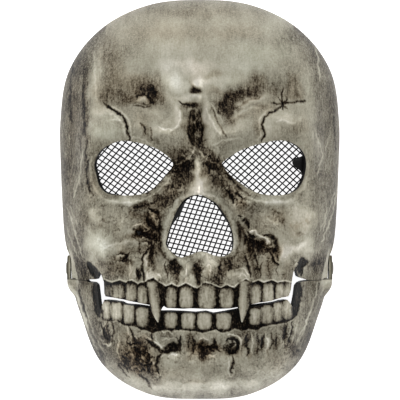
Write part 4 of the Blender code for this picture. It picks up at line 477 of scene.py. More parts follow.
    (0.45, -0.3, -0.4, 0.3, [(22.7, -79.9), (20.3, -81.7), (17.4, -83), (15.6, -86.8)]),
    (0.4, -0.24, -0.2, 0.3, [(10.8, -79.7), (8.5, -83.5), (9.1, -88.5)]),
])

gumLineUpper = [(-56.7, -49), (-52.5, -50.2), (-47.6, -48.6), (-43.8, -49.9), (-40.1, -48.3),
    (-36.5, -50.5), (-31.8, -48.9), (-30.9, -48.1), (-27.2, -46.7), (-23.6, -49.4), (-20, -51.5),
    (-16.4, -50.2), (-12.7, -52), (-8.3, -49.7), (-3.8, -52), (-1.6, -52.9), (3.4, -49.3), (8.8, -51.1),
    (12.4, -52.5), (16, -51.1), (20.5, -52.5), (24.1, -48.8), (27.7, -47.6), (31.4, -49.5), (34.6, -48.2),
    (37.8, -49.7), (42.5, -48.4), (46.3, -50), (50.9, -49.2), (54.7, -50.4)]
gumLineLower = [(-61.7, -73.7), (-58.4, -72.8), (-53.5, -73.3), (-49.6, -72.6), (-45.2, -75.2),
    (-37.5, -75.7), (-34.8, -77.5), (-31.2, -77.9), (-28.3, -79.2), (-23.7, -78), (-20.1, -77.1),
    (-16.5, -77.5), (-11, -77), (-2.9, -77.8), (1.7, -78.9), (6.1, -77.8), (9.6, -77), (13.4, -78.9),
    (17.9, -77.9), (20.6, -76.1), (25, -78.1), (28.8, -76.9), (33.4, -77.5), (38, -75.7), (42.5, -75),
    (47.4, -74.4), (52.1, -73.8), (56.1, -72.3), (58, -70.5)]

upperTeeth = asRows("x width gum tip tone", [
    (-55, 3.9, -51.6, -58.2, 0.1), (-48.8, 8.1, -51, -59.4, 0.3), (-40.5, 6.4, -50.3, -60.6, 0.34),
    (-33.8, 5.3, -51.3, -62, 0.34), (-16.6, 5.8, -51.7, -64.1, 0.34), (-7.9, 7.4, -51.4, -64.4, 0.44),
    (4.4, 9.9, -50.2, -64.9, 0.4), (15.8, 7.7, -52.3, -64.2, 0.4), (33, 6, -50.1, -62.3, 0.44),
    (40.6, 6.5, -49.8, -61.7, 0.44), (47.7, 4.8, -50, -59.9, 0.4), (53, 4.7, -49.7, -59, 0.32),
])
lowerTeeth = asRows("x width gum tip tone", [
    (-55.8, 4.9, -72.9, -61.3, 0.44), (-49.6, 6.6, -73, -61.8, 0.5), (-42.1, 6.4, -74.4, -62.3, 0.44),
    (-34, 6.9, -75.9, -64.1, 0.4), (-17.1, 6.8, -76.5, -67.1, 0.42), (-6.7, 7.7, -77, -67, 0.5),
    (2.8, 7.8, -77.2, -67, 0.5), (14.3, 8.2, -77.3, -67.1, 0.44), (32.9, 6.5, -75, -64.7, 0.42),
    (40, 6.7, -74.3, -63.1, 0.4), (46.5, 5.2, -73.2, -61.6, 0.4), (52.5, 5.9, -72.3, -60.2, 0.38),
])


def smoothThrough(rows, key, column, at):
    # a curve with no kinks through a table's rows: cubic pieces whose slopes look one row each way
    xs = np.array([row[key] for row in rows], float)
    ys = np.array([row[column] for row in rows], float)
    slopes = np.gradient(ys, xs)
    slopes[0] = slopes[-1] = 0.0
    at = np.clip(at, xs[0], xs[-1])
    i = np.clip(np.searchsorted(xs, at) - 1, 0, len(xs) - 2)
    span = xs[i + 1] - xs[i]
    t = (at - xs[i]) / span
    stay = (1 + 2 * t) * (1 - t) ** 2
    return (stay * ys[i] + t * (1 - t) ** 2 * span * slopes[i]
            + (1 - stay) * ys[i + 1] - t * t * (1 - t) * span * slopes[i + 1])


def closedCurve(points, perSpan):  # a smooth closed curve through the points (Catmull-Rom)
    p = np.array(points, float)
    before, after, further = np.roll(p, 1, 0), np.roll(p, -1, 0), np.roll(p, -2, 0)
    t = (np.arange(perSpan) / perSpan)[None, :, None]
    p, before, after, further = (q[:, None, :] for q in (p, before, after, further))
    made = 0.5 * (2 * p + (after - before) * t + (2 * before - 5 * p + 4 * after - further) * t**2
                  + (3 * p - before - 3 * after + further) * t**3)
    return made.reshape(-1, 2)


def signedDistance(shape, x, y):
    # distance to a closed outline of straight pieces: negative inside it, positive outside
    start = np.asarray(shape, float)
    end = np.roll(start, -1, 0)
    best = np.full(np.shape(x), 1e9)
    crossings = np.zeros(np.shape(x), int)
    for (ax, ay), (bx, by) in zip(start, end):
        dx, dy = bx - ax, by - ay
        t = np.clip(((x - ax) * dx + (y - ay) * dy) / (dx * dx + dy * dy + 1e-12), 0, 1)
        best = np.minimum(best, np.hypot(x - ax - t * dx, y - ay - t * dy))
        if dy:
            crossings += ((ay > y) != (by > y)) & (x < ax + (y - ay) * dx / dy)
    return np.where(crossings % 2 == 1, -best, best)


eyeOutlines = {"left": closedCurve(eyeLeft, 5), "right": closedCurve(eyeRight, 5)}
noseOutline = closedCurve(nosePoints, 4)


def swelling(row, x, y):
    # rise times e to the minus (along^2 + over^2)^(edge/2), measured from the row's middle, on both sides
    tilt = math.radians(row["tilt"])
    across, up = np.abs(x) - row["x"], y - row["y"]
    along = (across * math.cos(tilt) + up * math.sin(tilt)) / row["wide"]
    over = (up * math.cos(tilt) - across * math.sin(tilt)) / row["high"]
    return row["rise"] * np.exp(-((along**2 + over**2) ** (row["edge"] / 2)))


def faceHeight(x, y, rows):
    # depth times the root of 1 - out^fullness, where out is the share of the way to the rim, plus the swellings.
    # Also gives how far the place still is from the steep wall, from 1 down to 0.
    turn = np.degrees(np.arctan2(y, np.abs(x)))
    out = np.clip(np.hypot(x, y) / smoothThrough(outline, "turn", "reach", turn), 0, 1)
    front = np.sqrt(1 - out ** smoothThrough(outline, "turn", "fullness", turn))
    relief = sum(swelling(row, x, y) for row in rows)
    relief = relief + 3.0 * np.exp(-((signedDistance(noseOutline, x, y) / 4.0) ** 2))
    fade = np.clip(maskForm["reliefFade"] * front, 0, 1)
    return front * smoothThrough(depths, "y", "depth", y) + relief * fade, fade


# Painted and carved detail, as maps seen from the front

mapCell = 0.3
mapX, mapY = np.meshgrid(np.arange(-98, 98.01, mapCell), np.arange(-134, 134.01, mapCell))


def blurred(field, across, along=None):  # a Gaussian blur of the map, its sizes in millimetres
    along = across if along is None else along
    up, side = np.fft.fftfreq(field.shape[0], mapCell)[:, None], np.fft.rfftfreq(field.shape[1], mapCell)[None]
    keep = np.exp(-2 * np.pi**2 * ((side * across) ** 2 + (up * along) ** 2))
    return np.fft.irfft2(np.fft.rfft2(field) * keep, s=field.shape)


def grain(seed, across, along):  # smoothed noise of unit spread: streaks where across and along differ
    field = blurred(np.random.default_rng(seed).standard_normal(mapX.shape), across, along)
    return field / field.std()


def window(low, high):  # the part of the map between two corners
    column = np.clip(((np.array([low[0], high[0]]) + 98) / mapCell).astype(int) + (0, 2), 0, mapX.shape[1])
    row = np.clip(((np.array([low[1], high[1]]) + 134) / mapCell).astype(int) + (0, 2), 0, mapX.shape[0])
    return slice(*row), slice(*column)


def paintSpots(rows, warp, layers):
    # each spot is e to the minus (along^2 + over^2)^(edge/2) around its middle, its edge made ragged by the warp
    for row in rows:
        size = 2.6 * max(row["wide"], row["high"]) + 2
        part = window((row["x"] - size, row["y"] - size), (row["x"] + size, row["y"] + size))
        ragged = min(1.0, 0.35 * min(row["wide"], row["high"]))
        across = mapX[part] - row["x"] + ragged * warp[0][part]
        up = mapY[part] - row["y"] + ragged * warp[1][part]
        tilt = math.radians(row["tilt"])
        along = (across * math.cos(tilt) + up * math.sin(tilt)) / row["wide"]
        over = (up * math.cos(tilt) - across * math.sin(tilt)) / row["high"]
        share = np.exp(-((along**2 + over**2) ** (row["edge"] / 2)))
        for name in ("tone", "rise", "tint"):
            layers[name][part] += row[name] * share


def paintCracksAndHighlights(rows, warp, layers):
    # a line is e to the minus (distance / width)^2 from a path of straight pieces, thinner towards its ends. Dark
    # lines are fine crevices darkened with wash and painted shade, light lines are painted highlights; the painted
    # reflections down the sides are thinner and fainter, and the lower face has softer dark lines.
    for row in rows:
        path = np.array(row["points"], float)
        part = window(path.min(0) - 4, path.max(0) + 4)
        x, y = mapX[part] + 0.3 * warp[0][part], mapY[part] + 0.3 * warp[1][part]
        lengths = np.hypot(*np.diff(path, axis=0).T)
        gone, nearest, place = 0.0, np.full(x.shape, 1e9), np.zeros(x.shape)
        for (ax, ay), (bx, by), length in zip(path, path[1:], lengths):
            t = np.clip(((x - ax) * (bx - ax) + (y - ay) * (by - ay)) / length**2, 0, 1)
            away = np.hypot(x - ax - t * (bx - ax), y - ay - t * (by - ay))
            closer = away < nearest
            nearest, place = np.where(closer, away, nearest), np.where(closer, gone + t * length, place)
            gone += length
        end = np.minimum(place, gone - place)
        calm = 0.72 if np.abs(path[:, 0]).min() > 62 and row["tone"] > 0 else 1.0
        soft = path[:, 1].max() < -5 and row["tone"] > -0.95
        width = calm * row["width"] * (0.45 + 0.55 * np.clip(end / 3.0, 0, 1))
        share = np.exp(-((nearest / width) ** 2))
        for name in ("tone", "rise", "tint"):
            layers[name][part] += row[name] * share * calm * (0.8 if row["tone"] > 0 or soft else 1.15)


def carveTeeth(rows, layers, grooves):
    # a tooth is (1 - |across|^3.4 - |up|^4)^0.45, so that its sides fall steeply; its roundness is painted in, with
    # painted shade at its edges, its root and its side towards +x, and a painted highlight down its middle
    up = 1 if rows is lowerTeeth else -1
    for row in rows:
        middle, half = (row["gum"] + row["tip"]) / 2, abs(row["gum"] - row["tip"]) / 2 + 0.3
        part = window((row["x"] - 8, middle - 12), (row["x"] + 8, middle + 12))
        toTip = up * (mapY[part] - middle + 0.15 * warpFine[1][part]) / half
        across = (mapX[part] - row["x"] + 0.15 * warpFine[0][part]) / (0.5 * row["width"] + 0.62 + 0.15 * toTip)
        near = np.clip(1 - np.abs(across) ** 3.4 - np.abs(toTip) ** 4, 0, 1)
        share = near ** 0.45
        tone = (row["tone"] + 0.12 + 0.13 * (1 - across**2) - 0.22 * np.clip(-toTip, 0, 1) ** 1.5
                - 0.10 * np.clip(across, 0, 1) ** 2 + 0.08 * grooves[part])
        layers["tone"][part] = layers["tone"][part] * (1 - share) + tone * share
        layers["tint"][part] = np.where(share > 0, 0.1, layers["tint"][part])
        layers["rise"][part] += 1.5 * share


def lineHeight(points, x):  # y of a line of straight pieces at each x
    return np.interp(x, [p[0] for p in points], [p[1] for p in points])


warpCoarse = (grain(11, 1.6, 1.6), grain(12, 1.6, 2.2))
warpFine = (grain(13, 0.7, 0.7), grain(14, 0.7, 0.7))
# 1 on the forehead and the sides, which are brushed, and 0 on the carved lower face
brushed = np.minimum(1 / (1 + np.exp(-(mapY - 40) / 7)) + 1 / (1 + np.exp(-(np.abs(mapX) - 66) / 3)), 1)
streaks = 0.6 * grain(21, 0.3, 1.6) + 0.35 * grain(22, 0.5, 5.0) + 0.5 * grain(23, 0.32, 0.5)
grit = 0.7 * grain(28, 0.38, 0.42) + 0.6 * grain(29, 0.8, 0.9)
folds = grain(26, 1.1, 1.3) + 0.35 * grain(27, 0.4, 0.5)
# a dark line with a light one beside it: fine carved grooves, darkened with wash and painted shade, with a painted
# highlight beside them
etched = np.exp(-((folds / 0.22) ** 2)) - 0.6 * np.exp(-(((folds - 0.55) / 0.25) ** 2))
etched = etched - etched.mean()
mottle = grain(24, 3.0, 4.0)
clouds = grain(25, 9.0, 12.0)

paintForm = {
    "base": 0.51,            # the plain paint's tone
    "mottle": 0.055, "brushedMottle": -0.03, "clouds": 0.02,  # slow changes of tone, fewer where it is brushed
    "streaks": 0.012, "darkStreaks": 0.085,  # brush marks everywhere, and stronger ones where the wash and painted shade make it dark
    "brushed": 0.05,         # how much lighter the brushed parts are
    "grit": 0.075, "etched": 0.26,  # fine marks on the carved lower face
    "carvedPlain": 0.30,     # the share of them that also shows outside the dark wash and painted shade
}
common = {"tone": np.zeros(mapX.shape), "rise": np.zeros(mapX.shape), "tint": np.zeros(mapX.shape)}
paintSpots(stainsAndShading, warpCoarse, common)
paintSpots(pits, warpFine, common)
dark = np.clip(-blurred(common["tone"], 1.5) * 3.0, 0, 1)
carved = (1 - brushed) * (paintForm["carvedPlain"] + (1 - paintForm["carvedPlain"]) * dark)
common["tone"] += (paintForm["base"] + (paintForm["mottle"] + paintForm["brushedMottle"] * brushed) * mottle
                   + paintForm["clouds"] * clouds + paintForm["brushed"] * brushed
                   + streaks * (paintForm["streaks"] + paintForm["darkStreaks"] * dark * brushed)
                   + carved * (paintForm["grit"] * grit - paintForm["etched"] * etched))
common["rise"] += 0.05 * mottle + streaks * 0.02 + carved * (0.06 * grit - 0.55 * etched)
paintCracksAndHighlights(cracksAndHighlights, warpFine, common)
print("paint maps made")


def bandAround(points, side):  # the strip of gum and teeth: 1 on that side of a gum line, with a soft edge
    return np.clip(0.5 + side * (mapY - lineHeight(points, mapX) - 0.3 * warpFine[1]) / 0.7, 0, 1)


def mouthRidge(points, layers, side, light):  # the gum's edge: a fine painted highlight along it with a painted shadow line under it
    away = mapY - lineHeight(points, mapX)
    near = np.exp(-(((away + 0.6 * side) / 0.45) ** 2)) * (np.abs(mapX) < 58)
    under = np.exp(-(((away - 0.45 * side) / 0.55) ** 2)) * (np.abs(mapX) < 58)
    layers["rise"] += 0.6 * light * near
    layers["tone"] += 0.34 * light * near - 0.5 * under


layersOf = {}
for shell, rows, gumLine, side, light in (("skull", upperTeeth, gumLineUpper, -1, 1.0),
                                          ("jaw", lowerTeeth, gumLineLower, 1, 0.25)):
    layers = {name: field.copy() for name, field in common.items()}
    mouthRidge(gumLine, layers, side, light)
    inMouth = bandAround(gumLine, side) * (np.abs(mapX) < 59) * (np.abs(mapY + 62) < 20)
    layers["tone"] = layers["tone"] * (1 - inMouth) + (0.06 + 0.05 * grit) * inMouth
    layers["rise"] = layers["rise"] * (1 - inMouth) - 0.5 * inMouth
    layers["tint"] = layers["tint"] * (1 - inMouth) + 0.3 * inMouth
    carveTeeth(rows, layers, streaks)
    layersOf[shell] = layers

# Fangs: long horns whose half width shrinks from the root to the tip; round across, with the roundness painted in:
# a painted highlight left of the middle, painted shade on the right side, at the edges and at the root
fangTable = asRows("x tipX root tip half", [(-27.6, -24.4, -48.4, -74.0, 3.7), (27.2, 24.9, -47.8, -74.0, 3.9)])
for row in fangTable:
    layers = layersOf["skull"]
    down = np.clip((row["root"] - mapY) / (row["root"] - row["tip"]), 0, 1)
    middle = row["x"] + (row["tipX"] - row["x"]) * down ** 1.2
    half = row["half"] * (1 - down ** 2.6) ** 0.8 + 0.2
    across = (mapX - middle + 0.12 * warpFine[0]) / half
    share = np.sqrt(np.clip(1 - np.abs(across) ** 2.6, 0, 1)) * np.clip((row["root"] + 0.6 - mapY) / 1.6, 0, 1)
    share *= mapY > row["tip"] - 1
    tone = (0.46 + 0.20 * np.clip(1 - (across + 0.25) ** 2 * 2, 0, 1) - 0.22 * np.clip(across, 0, 1) ** 2
            - 0.12 * np.abs(across) ** 3 - 0.12 * (1 - down) ** 4 + 0.04 * streaks)
    cover = np.sqrt(share)
    layers["tone"] = np.where(share > 0, layers["tone"] * (1 - cover) + tone * cover, layers["tone"])
    layers["tint"] = np.where(share > 0, 0.1, layers["tint"])
    layers["rise"] += 2.2 * share
    # painted shade on the jaw around the fang's tip
    layersOf["jaw"]["tone"] -= 0.15 * np.exp(-((mapX - row["tipX"]) / 4.5) ** 4 - ((mapY + 71) / 5.0) ** 4)

for layers in layersOf.values():  # the dark wash collects in hollows and is rubbed off ridges; with it goes painted shade in the hollows and a painted highlight on the ridges
    reliefWashAndShading = layers["rise"] - blurred(layers["rise"], 1.6)
    layers["tone"] = np.clip(layers["tone"] + np.clip(0.22 * reliefWashAndShading, -0.16, 0.10), 0.0, 1.0)
print("teeth and fangs made")


def sampled(field, x, y):  # the map's value at each place, between its four neighbours
    u = np.clip((x + 98) / mapCell, 0, field.shape[1] - 1.001)
    v = np.clip((y + 134) / mapCell, 0, field.shape[0] - 1.001)
    i, j = u.astype(int), v.astype(int)
    s, t = u - i, v - j
    return ((field[j, i] * (1 - s) + field[j, i + 1] * s) * (1 - t)
            + (field[j + 1, i] * (1 - s) + field[j + 1, i + 1] * s) * t)


# The moulded shells

shellGrid = {  # spacing is in millimetres along the rings' way out: on the face, and down the steep wall
    "skull": {"columns": 880, "from": -math.pi, "to": math.pi, "start": 0.088, "face": 0.46, "wall": 1.5},
    "jaw": {"columns": 560, "from": -math.pi + 0.16, "to": -0.16, "start": 0.30, "face": 0.46, "wall": 1.5},
    "insideShare": 3,  # the black inside has one corner for so many of the face's
    "splitY": 12.0,    # the upper shell's face is kept as two pieces that meet here
}


def rimPoint(turn):  # where a ray from the grid's middle meets the outline
    far = np.full(np.shape(turn), 60.0)
    for _ in range(30):
        x, y = far * np.cos(turn), maskForm["middleY"] + far * np.sin(turn)
        reach = smoothThrough(outline, "turn", "reach", np.degrees(np.arctan2(y, np.abs(x))))
        far *= reach / np.hypot(x, y)
    return far * np.cos(turn), maskForm["middleY"] + far * np.sin(turn)


def flattenedAtHinge(x, y, z, level):  # the side wall is brought to a flat round face at each hinge
    away = np.hypot(y - hinge["y"], z - hinge["z"])
    t = np.clip((away - hinge["padRadius"]) / hinge["padFade"], 0, 1)
    share = (1 - t * t * (3 - 2 * t)) * (np.abs(x) > 40)
    return np.sign(x) * (np.abs(x) * (1 - share) + level * share)


def shellSurface(grid, rows, level, layers):
    # rings around the nose that widen to the rim: place = middle + share * (rim - middle), height = faceHeight.
    # Returns one row for each vertex: outer place, inner place, tone, tint, plain height; and the triangles.
    turn = np.linspace(grid["from"], grid["to"], grid["columns"] + 1)
    rimX, rimY = rimPoint(turn)
    fine = grid["start"] + (1 - grid["start"]) * np.sin(np.linspace(0, math.pi / 2, 500))
    px, py = rimX[::8] * fine[:, None], maskForm["middleY"] + (rimY[::8] - maskForm["middleY"]) * fine[:, None]
    pz = faceHeight(px, py, forms)[0]
    step = np.sqrt(np.diff(px, axis=0) ** 2 + np.diff(py, axis=0) ** 2 + np.diff(pz, axis=0) ** 2)
    spacing = grid["face"] + (grid["wall"] - grid["face"]) / (1 + np.exp((pz[1:] - 50) / 4))
    passed = np.concatenate([[0], np.cumsum((step / spacing).mean(1))])
    share = np.interp(np.linspace(0, passed[-1], int(passed[-1]) + 1), passed, fine)
    x = rimX * share[:, None]
    y = maskForm["middleY"] + (rimY - maskForm["middleY"]) * share[:, None]
    plain, fade = faceHeight(x, y, rows)
    moved = flattenedAtHinge(x, y, plain, level)
    base = np.stack([moved, y, plain], -1)
    normal = np.cross(np.gradient(base, axis=1), np.gradient(base, axis=0))
    normal /= np.linalg.norm(normal, axis=-1, keepdims=True) + 1e-12
    normal *= np.sign(normal[..., :1] * x[..., None] + normal[..., 1:2] * y[..., None] + normal[..., 2:] * 60)
    inner = base - normal * maskForm["wall"]
    inner[..., 2] = np.maximum(inner[..., 2], 0.0)
    outer = base.copy()
    outer[..., 2] += sampled(layers["rise"], x, y) * fade
    outer[-1, :, 2] = 0.0
    wall = np.clip((fade - 0.25) / 0.5, 0, 1)
    tone = sampled(layers["tone"], x, y)
    tone = tone * (0.75 + 0.25 * wall) + (1 - wall) * 0.25 * sampled(blurredTone, x, y)
    steep = 50 + 22 * np.clip((np.abs(x) - 58) / 12, 0, 1)  # painted shade on the side walls, which darkens them from higher up
    darker = np.clip((steep - plain) / 38, 0, 1) * (0.35 + 0.65 * (np.abs(x) > 58))
    # low on the wall beside the hinges the painted shade turns into a slight lightening
    tone -= maskForm["wallShade"] * darker * (1 - 1.3 * np.exp(-((y - hinge["y"]) / 12) ** 4) * (plain < 36))
    tint = sampled(layers["tint"], x, y)
    values = np.concatenate([outer, inner, tone[..., None], tint[..., None], plain[..., None], base[..., :1]], -1)
    index = np.arange(values.shape[0] * values.shape[1]).reshape(values.shape[:2])
    a, b, c, d = index[:-1, :-1], index[:-1, 1:], index[1:, 1:], index[1:, :-1]
    triangles = np.concatenate([np.stack([a, c, b], -1).reshape(-1, 3), np.stack([a, d, c], -1).reshape(-1, 3)])
    values = values.reshape(-1, values.shape[-1])
    if grid["to"] - grid["from"] > 6.28:  # the last column is the first one again
        width = grid["columns"] + 1
        triangles = np.where(triangles % width == grid["columns"], triangles - grid["columns"], triangles)
    return values, triangles


def trimmed(values, triangles, field):
    # keeps what has field > 0. A triangle that the line field = 0 crosses is cut there, and the new corners
    # get values between those of the two ends of the cut side.
    inside = field[triangles] > 0
    count = inside.sum(1)
    kept = [triangles[count == 3]]
    pairs, pieces = [], []
    for kind in (1, 2):
        rows, flags = triangles[count == kind], inside[count == kind]
        odd = np.argmax(flags if kind == 1 else ~flags, 1)
        a, b, c = np.take_along_axis(rows, (odd[:, None] + np.arange(3)) % 3, 1).T
        pairs += [np.stack([a, b], 1), np.stack([a, c], 1)]
        pieces.append((kind, a, b, c))
    joined = np.sort(np.concatenate(pairs), 1)
    unique, back = np.unique(joined, axis=0, return_inverse=True)
    back = back.reshape(-1)
    f = field[unique]
    share = (f[:, 0] / (f[:, 0] - f[:, 1]))[:, None]
    made = values[unique[:, 0]] * (1 - share) + values[unique[:, 1]] * share
    start = 0
    for kind, a, b, c in pieces:
        ab = len(values) + back[start:start + len(a)]
        ac = len(values) + back[start + len(a):start + 2 * len(a)]
        start += 2 * len(a)
        if kind == 1:
            kept.append(np.stack([a, ab, ac], 1))
        else:
            kept += [np.stack([ab, b, c], 1), np.stack([ab, c, ac], 1)]
    return np.concatenate([values, made]), np.concatenate(kept)


def compacted(values, triangles):
    used, back = np.unique(triangles, return_inverse=True)
    return values[used], back.reshape(-1, 3)


def withoutSlivers(values, triangles):  # merges corners closer than 0.01 mm and drops what collapses
    keys = np.rint(values[:, :3] * 100).astype(int)
    first, back = np.unique(keys, axis=0, return_index=True, return_inverse=True)[1:]
    triangles = first[back.reshape(-1)[triangles]]
    a, b, c = triangles.T
    return compacted(values, triangles[(a != b) & (b != c) & (a != c)])


def openEdges(triangles):  # the directed sides that only one triangle has
    sides = np.concatenate([triangles[:, [0, 1]], triangles[:, [1, 2]], triangles[:, [2, 0]]])
    index, count = np.unique(np.sort(sides, 1), axis=0, return_index=True, return_counts=True)[1:]
    return sides[index[count == 1]]


def arc(radius, first, last, count=15):  # (y, z) points around the hinge, angles from +Y towards +Z
    turns = np.linspace(first, last, count)
    return [(hinge["y"] + radius * math.cos(t), hinge["z"] + radius * math.sin(t)) for t in turns]


top = maskForm["sideCut"] + 1
half = math.acos((hinge["lugEdge"] - hinge["y"]) / hinge["lugRadius"])
lugSide = ([(-130, top), (hinge["lugEdge"], top)] + arc(hinge["lugRadius"], half, 1.5 * math.pi)
           + [(hinge["y"], -20), (-130, -20)])
earSide = ([(hinge["earEdge"], top), (hinge["earEdge"], hinge["z"] + hinge["earRadius"])]
           + arc(hinge["earRadius"], math.pi / 2, -math.pi / 2)
           + [(hinge["earEdge"], hinge["z"] - hinge["earRadius"]), (hinge["earRear"], 0), (hinge["earRear"], -20),
              (130, -20), (130, top)])


def partingField(values, edge, farY, side):  # positive on the shell's own side of its parting line
    x, y, z = values[:, 9], values[:, 1], values[:, 8]
    front = signedDistance(edge + [(edge[-1][0], farY), (edge[0][0], farY)], x, y)
    return np.where(z > maskForm["sideCut"], front, signedDistance(side, y, z))


def holeField(values):
    return np.hypot(values[:, 1] - hinge["y"], values[:, 8] - hinge["z"]) - hinge["hole"]


def meshPiece(name, places, faces, smooth=True):
    mesh = bpy.data.meshes.new(name)
    mesh.from_pydata((np.asarray(places) * 0.001).tolist(), [], faces if isinstance(faces, list) else faces.tolist())
    mesh.polygons.foreach_set("use_smooth", [smooth] * len(mesh.polygons))
    mesh.update()
    made = bpy.data.objects.new(name, mesh)
    bpy.context.scene.collection.objects.link(made)
    return made


def attribute(piece, name, values):
    piece.data.attributes.new(name, "FLOAT", "POINT").data.foreach_set("value", np.asarray(values, np.float32))


def cornerNormals(places, triangles):  # each corner's direction, from the faces around it by their area
    a, b, c = places[triangles].transpose(1, 0, 2)
    sides = np.cross(b - a, c - a)
    total = np.stack([np.bincount(triangles.ravel(), np.repeat(sides[:, k], 3), len(places)) for k in range(3)], 1)
    return total / (np.linalg.norm(total, axis=1, keepdims=True) + 1e-20)


def paintedPiece(name, values, triangles, normals):
    used, back = np.unique(triangles, return_inverse=True)
    painted = meshPiece(name, values[used, :3], back.reshape(-1, 3))
    painted.data.normals_split_custom_set_from_vertices(normals[used].tolist())  # no seam where two pieces meet
    attribute(painted, "tone", values[used, 6])
    attribute(painted, "tint", values[used, 7])
    print(name, len(triangles), "triangles")
    return painted


def cutShell(shell, rows, level, layers, share, spare):
    # the grid with its openings, parting line and rivet holes cut out; spare leaves that much more at each edge
    grid = dict(shellGrid[shell])
    grid["columns"] = grid["columns"] // share
    grid["face"], grid["wall"] = grid["face"] * share, grid["wall"] * min(share, 2)
    values, triangles = shellSurface(grid, rows, level, layers)
    for shape in (eyeOutlines["left"], eyeOutlines["right"], noseOutline) if shell == "skull" else ():
        away = signedDistance(shape, values[:, 9], values[:, 1])
        values, triangles = trimmed(values, triangles, np.where(values[:, 8] > 40, away, 9) + spare)
    edge, farY, side = (parting, -150, lugSide) if shell == "skull" else (jawEdge, 150, earSide)
    values, triangles = trimmed(values, triangles, partingField(values, edge, farY, side) + spare)
    values, triangles = trimmed(values, triangles, holeField(values) + spare)
    return withoutSlivers(values, triangles)


def shellPieces(shell, rows, level, splitY=None):
    # the painted face, and the black inside: the same surface a wall's thickness further in, with strips between
    # the two along the cut edges. The edges beside the hinges are painted.
    values, triangles = cutShell(shell, rows, level, layersOf[shell], 1, 0.0)
    edges = openEdges(triangles)
    onSide = (values[edges, 8].max(1) < maskForm["sideCut"] + 3) & (values[edges, 8].max(1) > 0.5)
    rim, back = np.unique(edges, return_inverse=True)
    inner = values[rim].copy()
    inner[:, :3] = values[rim, 3:6]
    inner[:, 6] += 0.06
    a, b = (len(values) + back.reshape(-1, 2)).T
    strips = np.concatenate([np.stack([b, a, edges[:, 0]], 1), np.stack([b, edges[:, 0], edges[:, 1]], 1)])
    painted = np.concatenate([onSide, onSide])
    whole = np.concatenate([values, inner])
    normals = np.concatenate([cornerNormals(values[:, :3], triangles),
                              cornerNormals(whole[:, :3], strips)[len(values):]])
    face = np.concatenate([triangles, strips[painted]])
    low = whole[face, 1].mean(1) < splitY if splitY is not None else np.ones(len(face), bool)
    pieces = [paintedPiece(shell + "_face_paint", whole, face[low], normals)]
    if splitY is not None:
        pieces.append(paintedPiece(shell + "_brow_paint", whole, face[~low], normals))
    coarse, coarseFaces = cutShell(shell, rows, level, layersOf[shell], shellGrid["insideShare"], 0.12)
    used, back = np.unique(strips[~painted], return_inverse=True)
    black = meshPiece(shell + "_inside", np.concatenate([coarse[:, 3:6], whole[used, :3]]),
                      np.concatenate([coarseFaces[:, ::-1], back.reshape(-1, 3) + len(coarse)]))
    black.data.set_sharp_from_angle(angle=math.radians(50))
    print(shell + "_inside", len(black.data.polygons), "triangles")
    return pieces + [black]


blurredTone = blurred(layersOf["skull"]["tone"], 1.5, 8.0)
skullFace, skullBrow, skullInside = shellPieces("skull", skullForms, hinge["lugOuter"], shellGrid["splitY"])
blurredTone = blurred(layersOf["jaw"]["tone"], 1.5, 8.0)
jawFace, jawInside = shellPieces("jaw", jawForms, hinge["earOuter"])


# The woven wire nets

netForm = {
    "wires": (0.43, 0.46),  # the wires' half thicknesses, one for each family
    "wave": 0.42,           # how far a wire swings to each side to pass over and under
    "seat": 4.2,            # how far the net lies behind the shell's outer face
    "overlap": 3.6,         # how far it reaches past the opening's edge
    "sides": 5, "perCell": 6, "reach": 24,  # the section's corners, places in a cell, cells each way
}
netTable = asRows("name outline along across cell", [   # along and across: from one cell to the next
    ("left", eyeOutlines["left"], (2.62, -1.71), (1.90, 2.15), (-40.8, 16.3)),
    ("right", eyeOutlines["right"], (2.29, -1.93), (2.17, 2.07), (37.9, 17.0)),
    ("nose", noseOutline, (2.86, -0.62), (1.03, 2.62), (1.1, -19.9)),
])


def turnsLeft(shape):  # whether a closed outline runs against the clock
    return np.sum(shape[:, 0] * np.roll(shape[:, 1], -1) - shape[:, 1] * np.roll(shape[:, 0], -1)) > 0


def outwards(shape):  # the direction out of a closed outline at each of its points
    step = np.roll(shape, -1, 0) - np.roll(shape, 1, 0)
    out = np.stack([step[:, 1], -step[:, 0]], 1) / np.linalg.norm(step, axis=1)[:, None]
    return out if turnsLeft(shape) else -out


def sheetPlace(x, y, seat):  # the place straight behind (x, y) that lies a distance inside the plain outer face
    dx = (faceHeight(x + 3, y, forms)[0] - faceHeight(x - 3, y, forms)[0]) / 6
    dy = (faceHeight(x, y + 3, forms)[0] - faceHeight(x, y - 3, forms)[0]) / 6
    return np.stack([x, y, faceHeight(x, y, forms)[0] - seat * np.sqrt(1 + dx * dx + dy * dy)], -1)


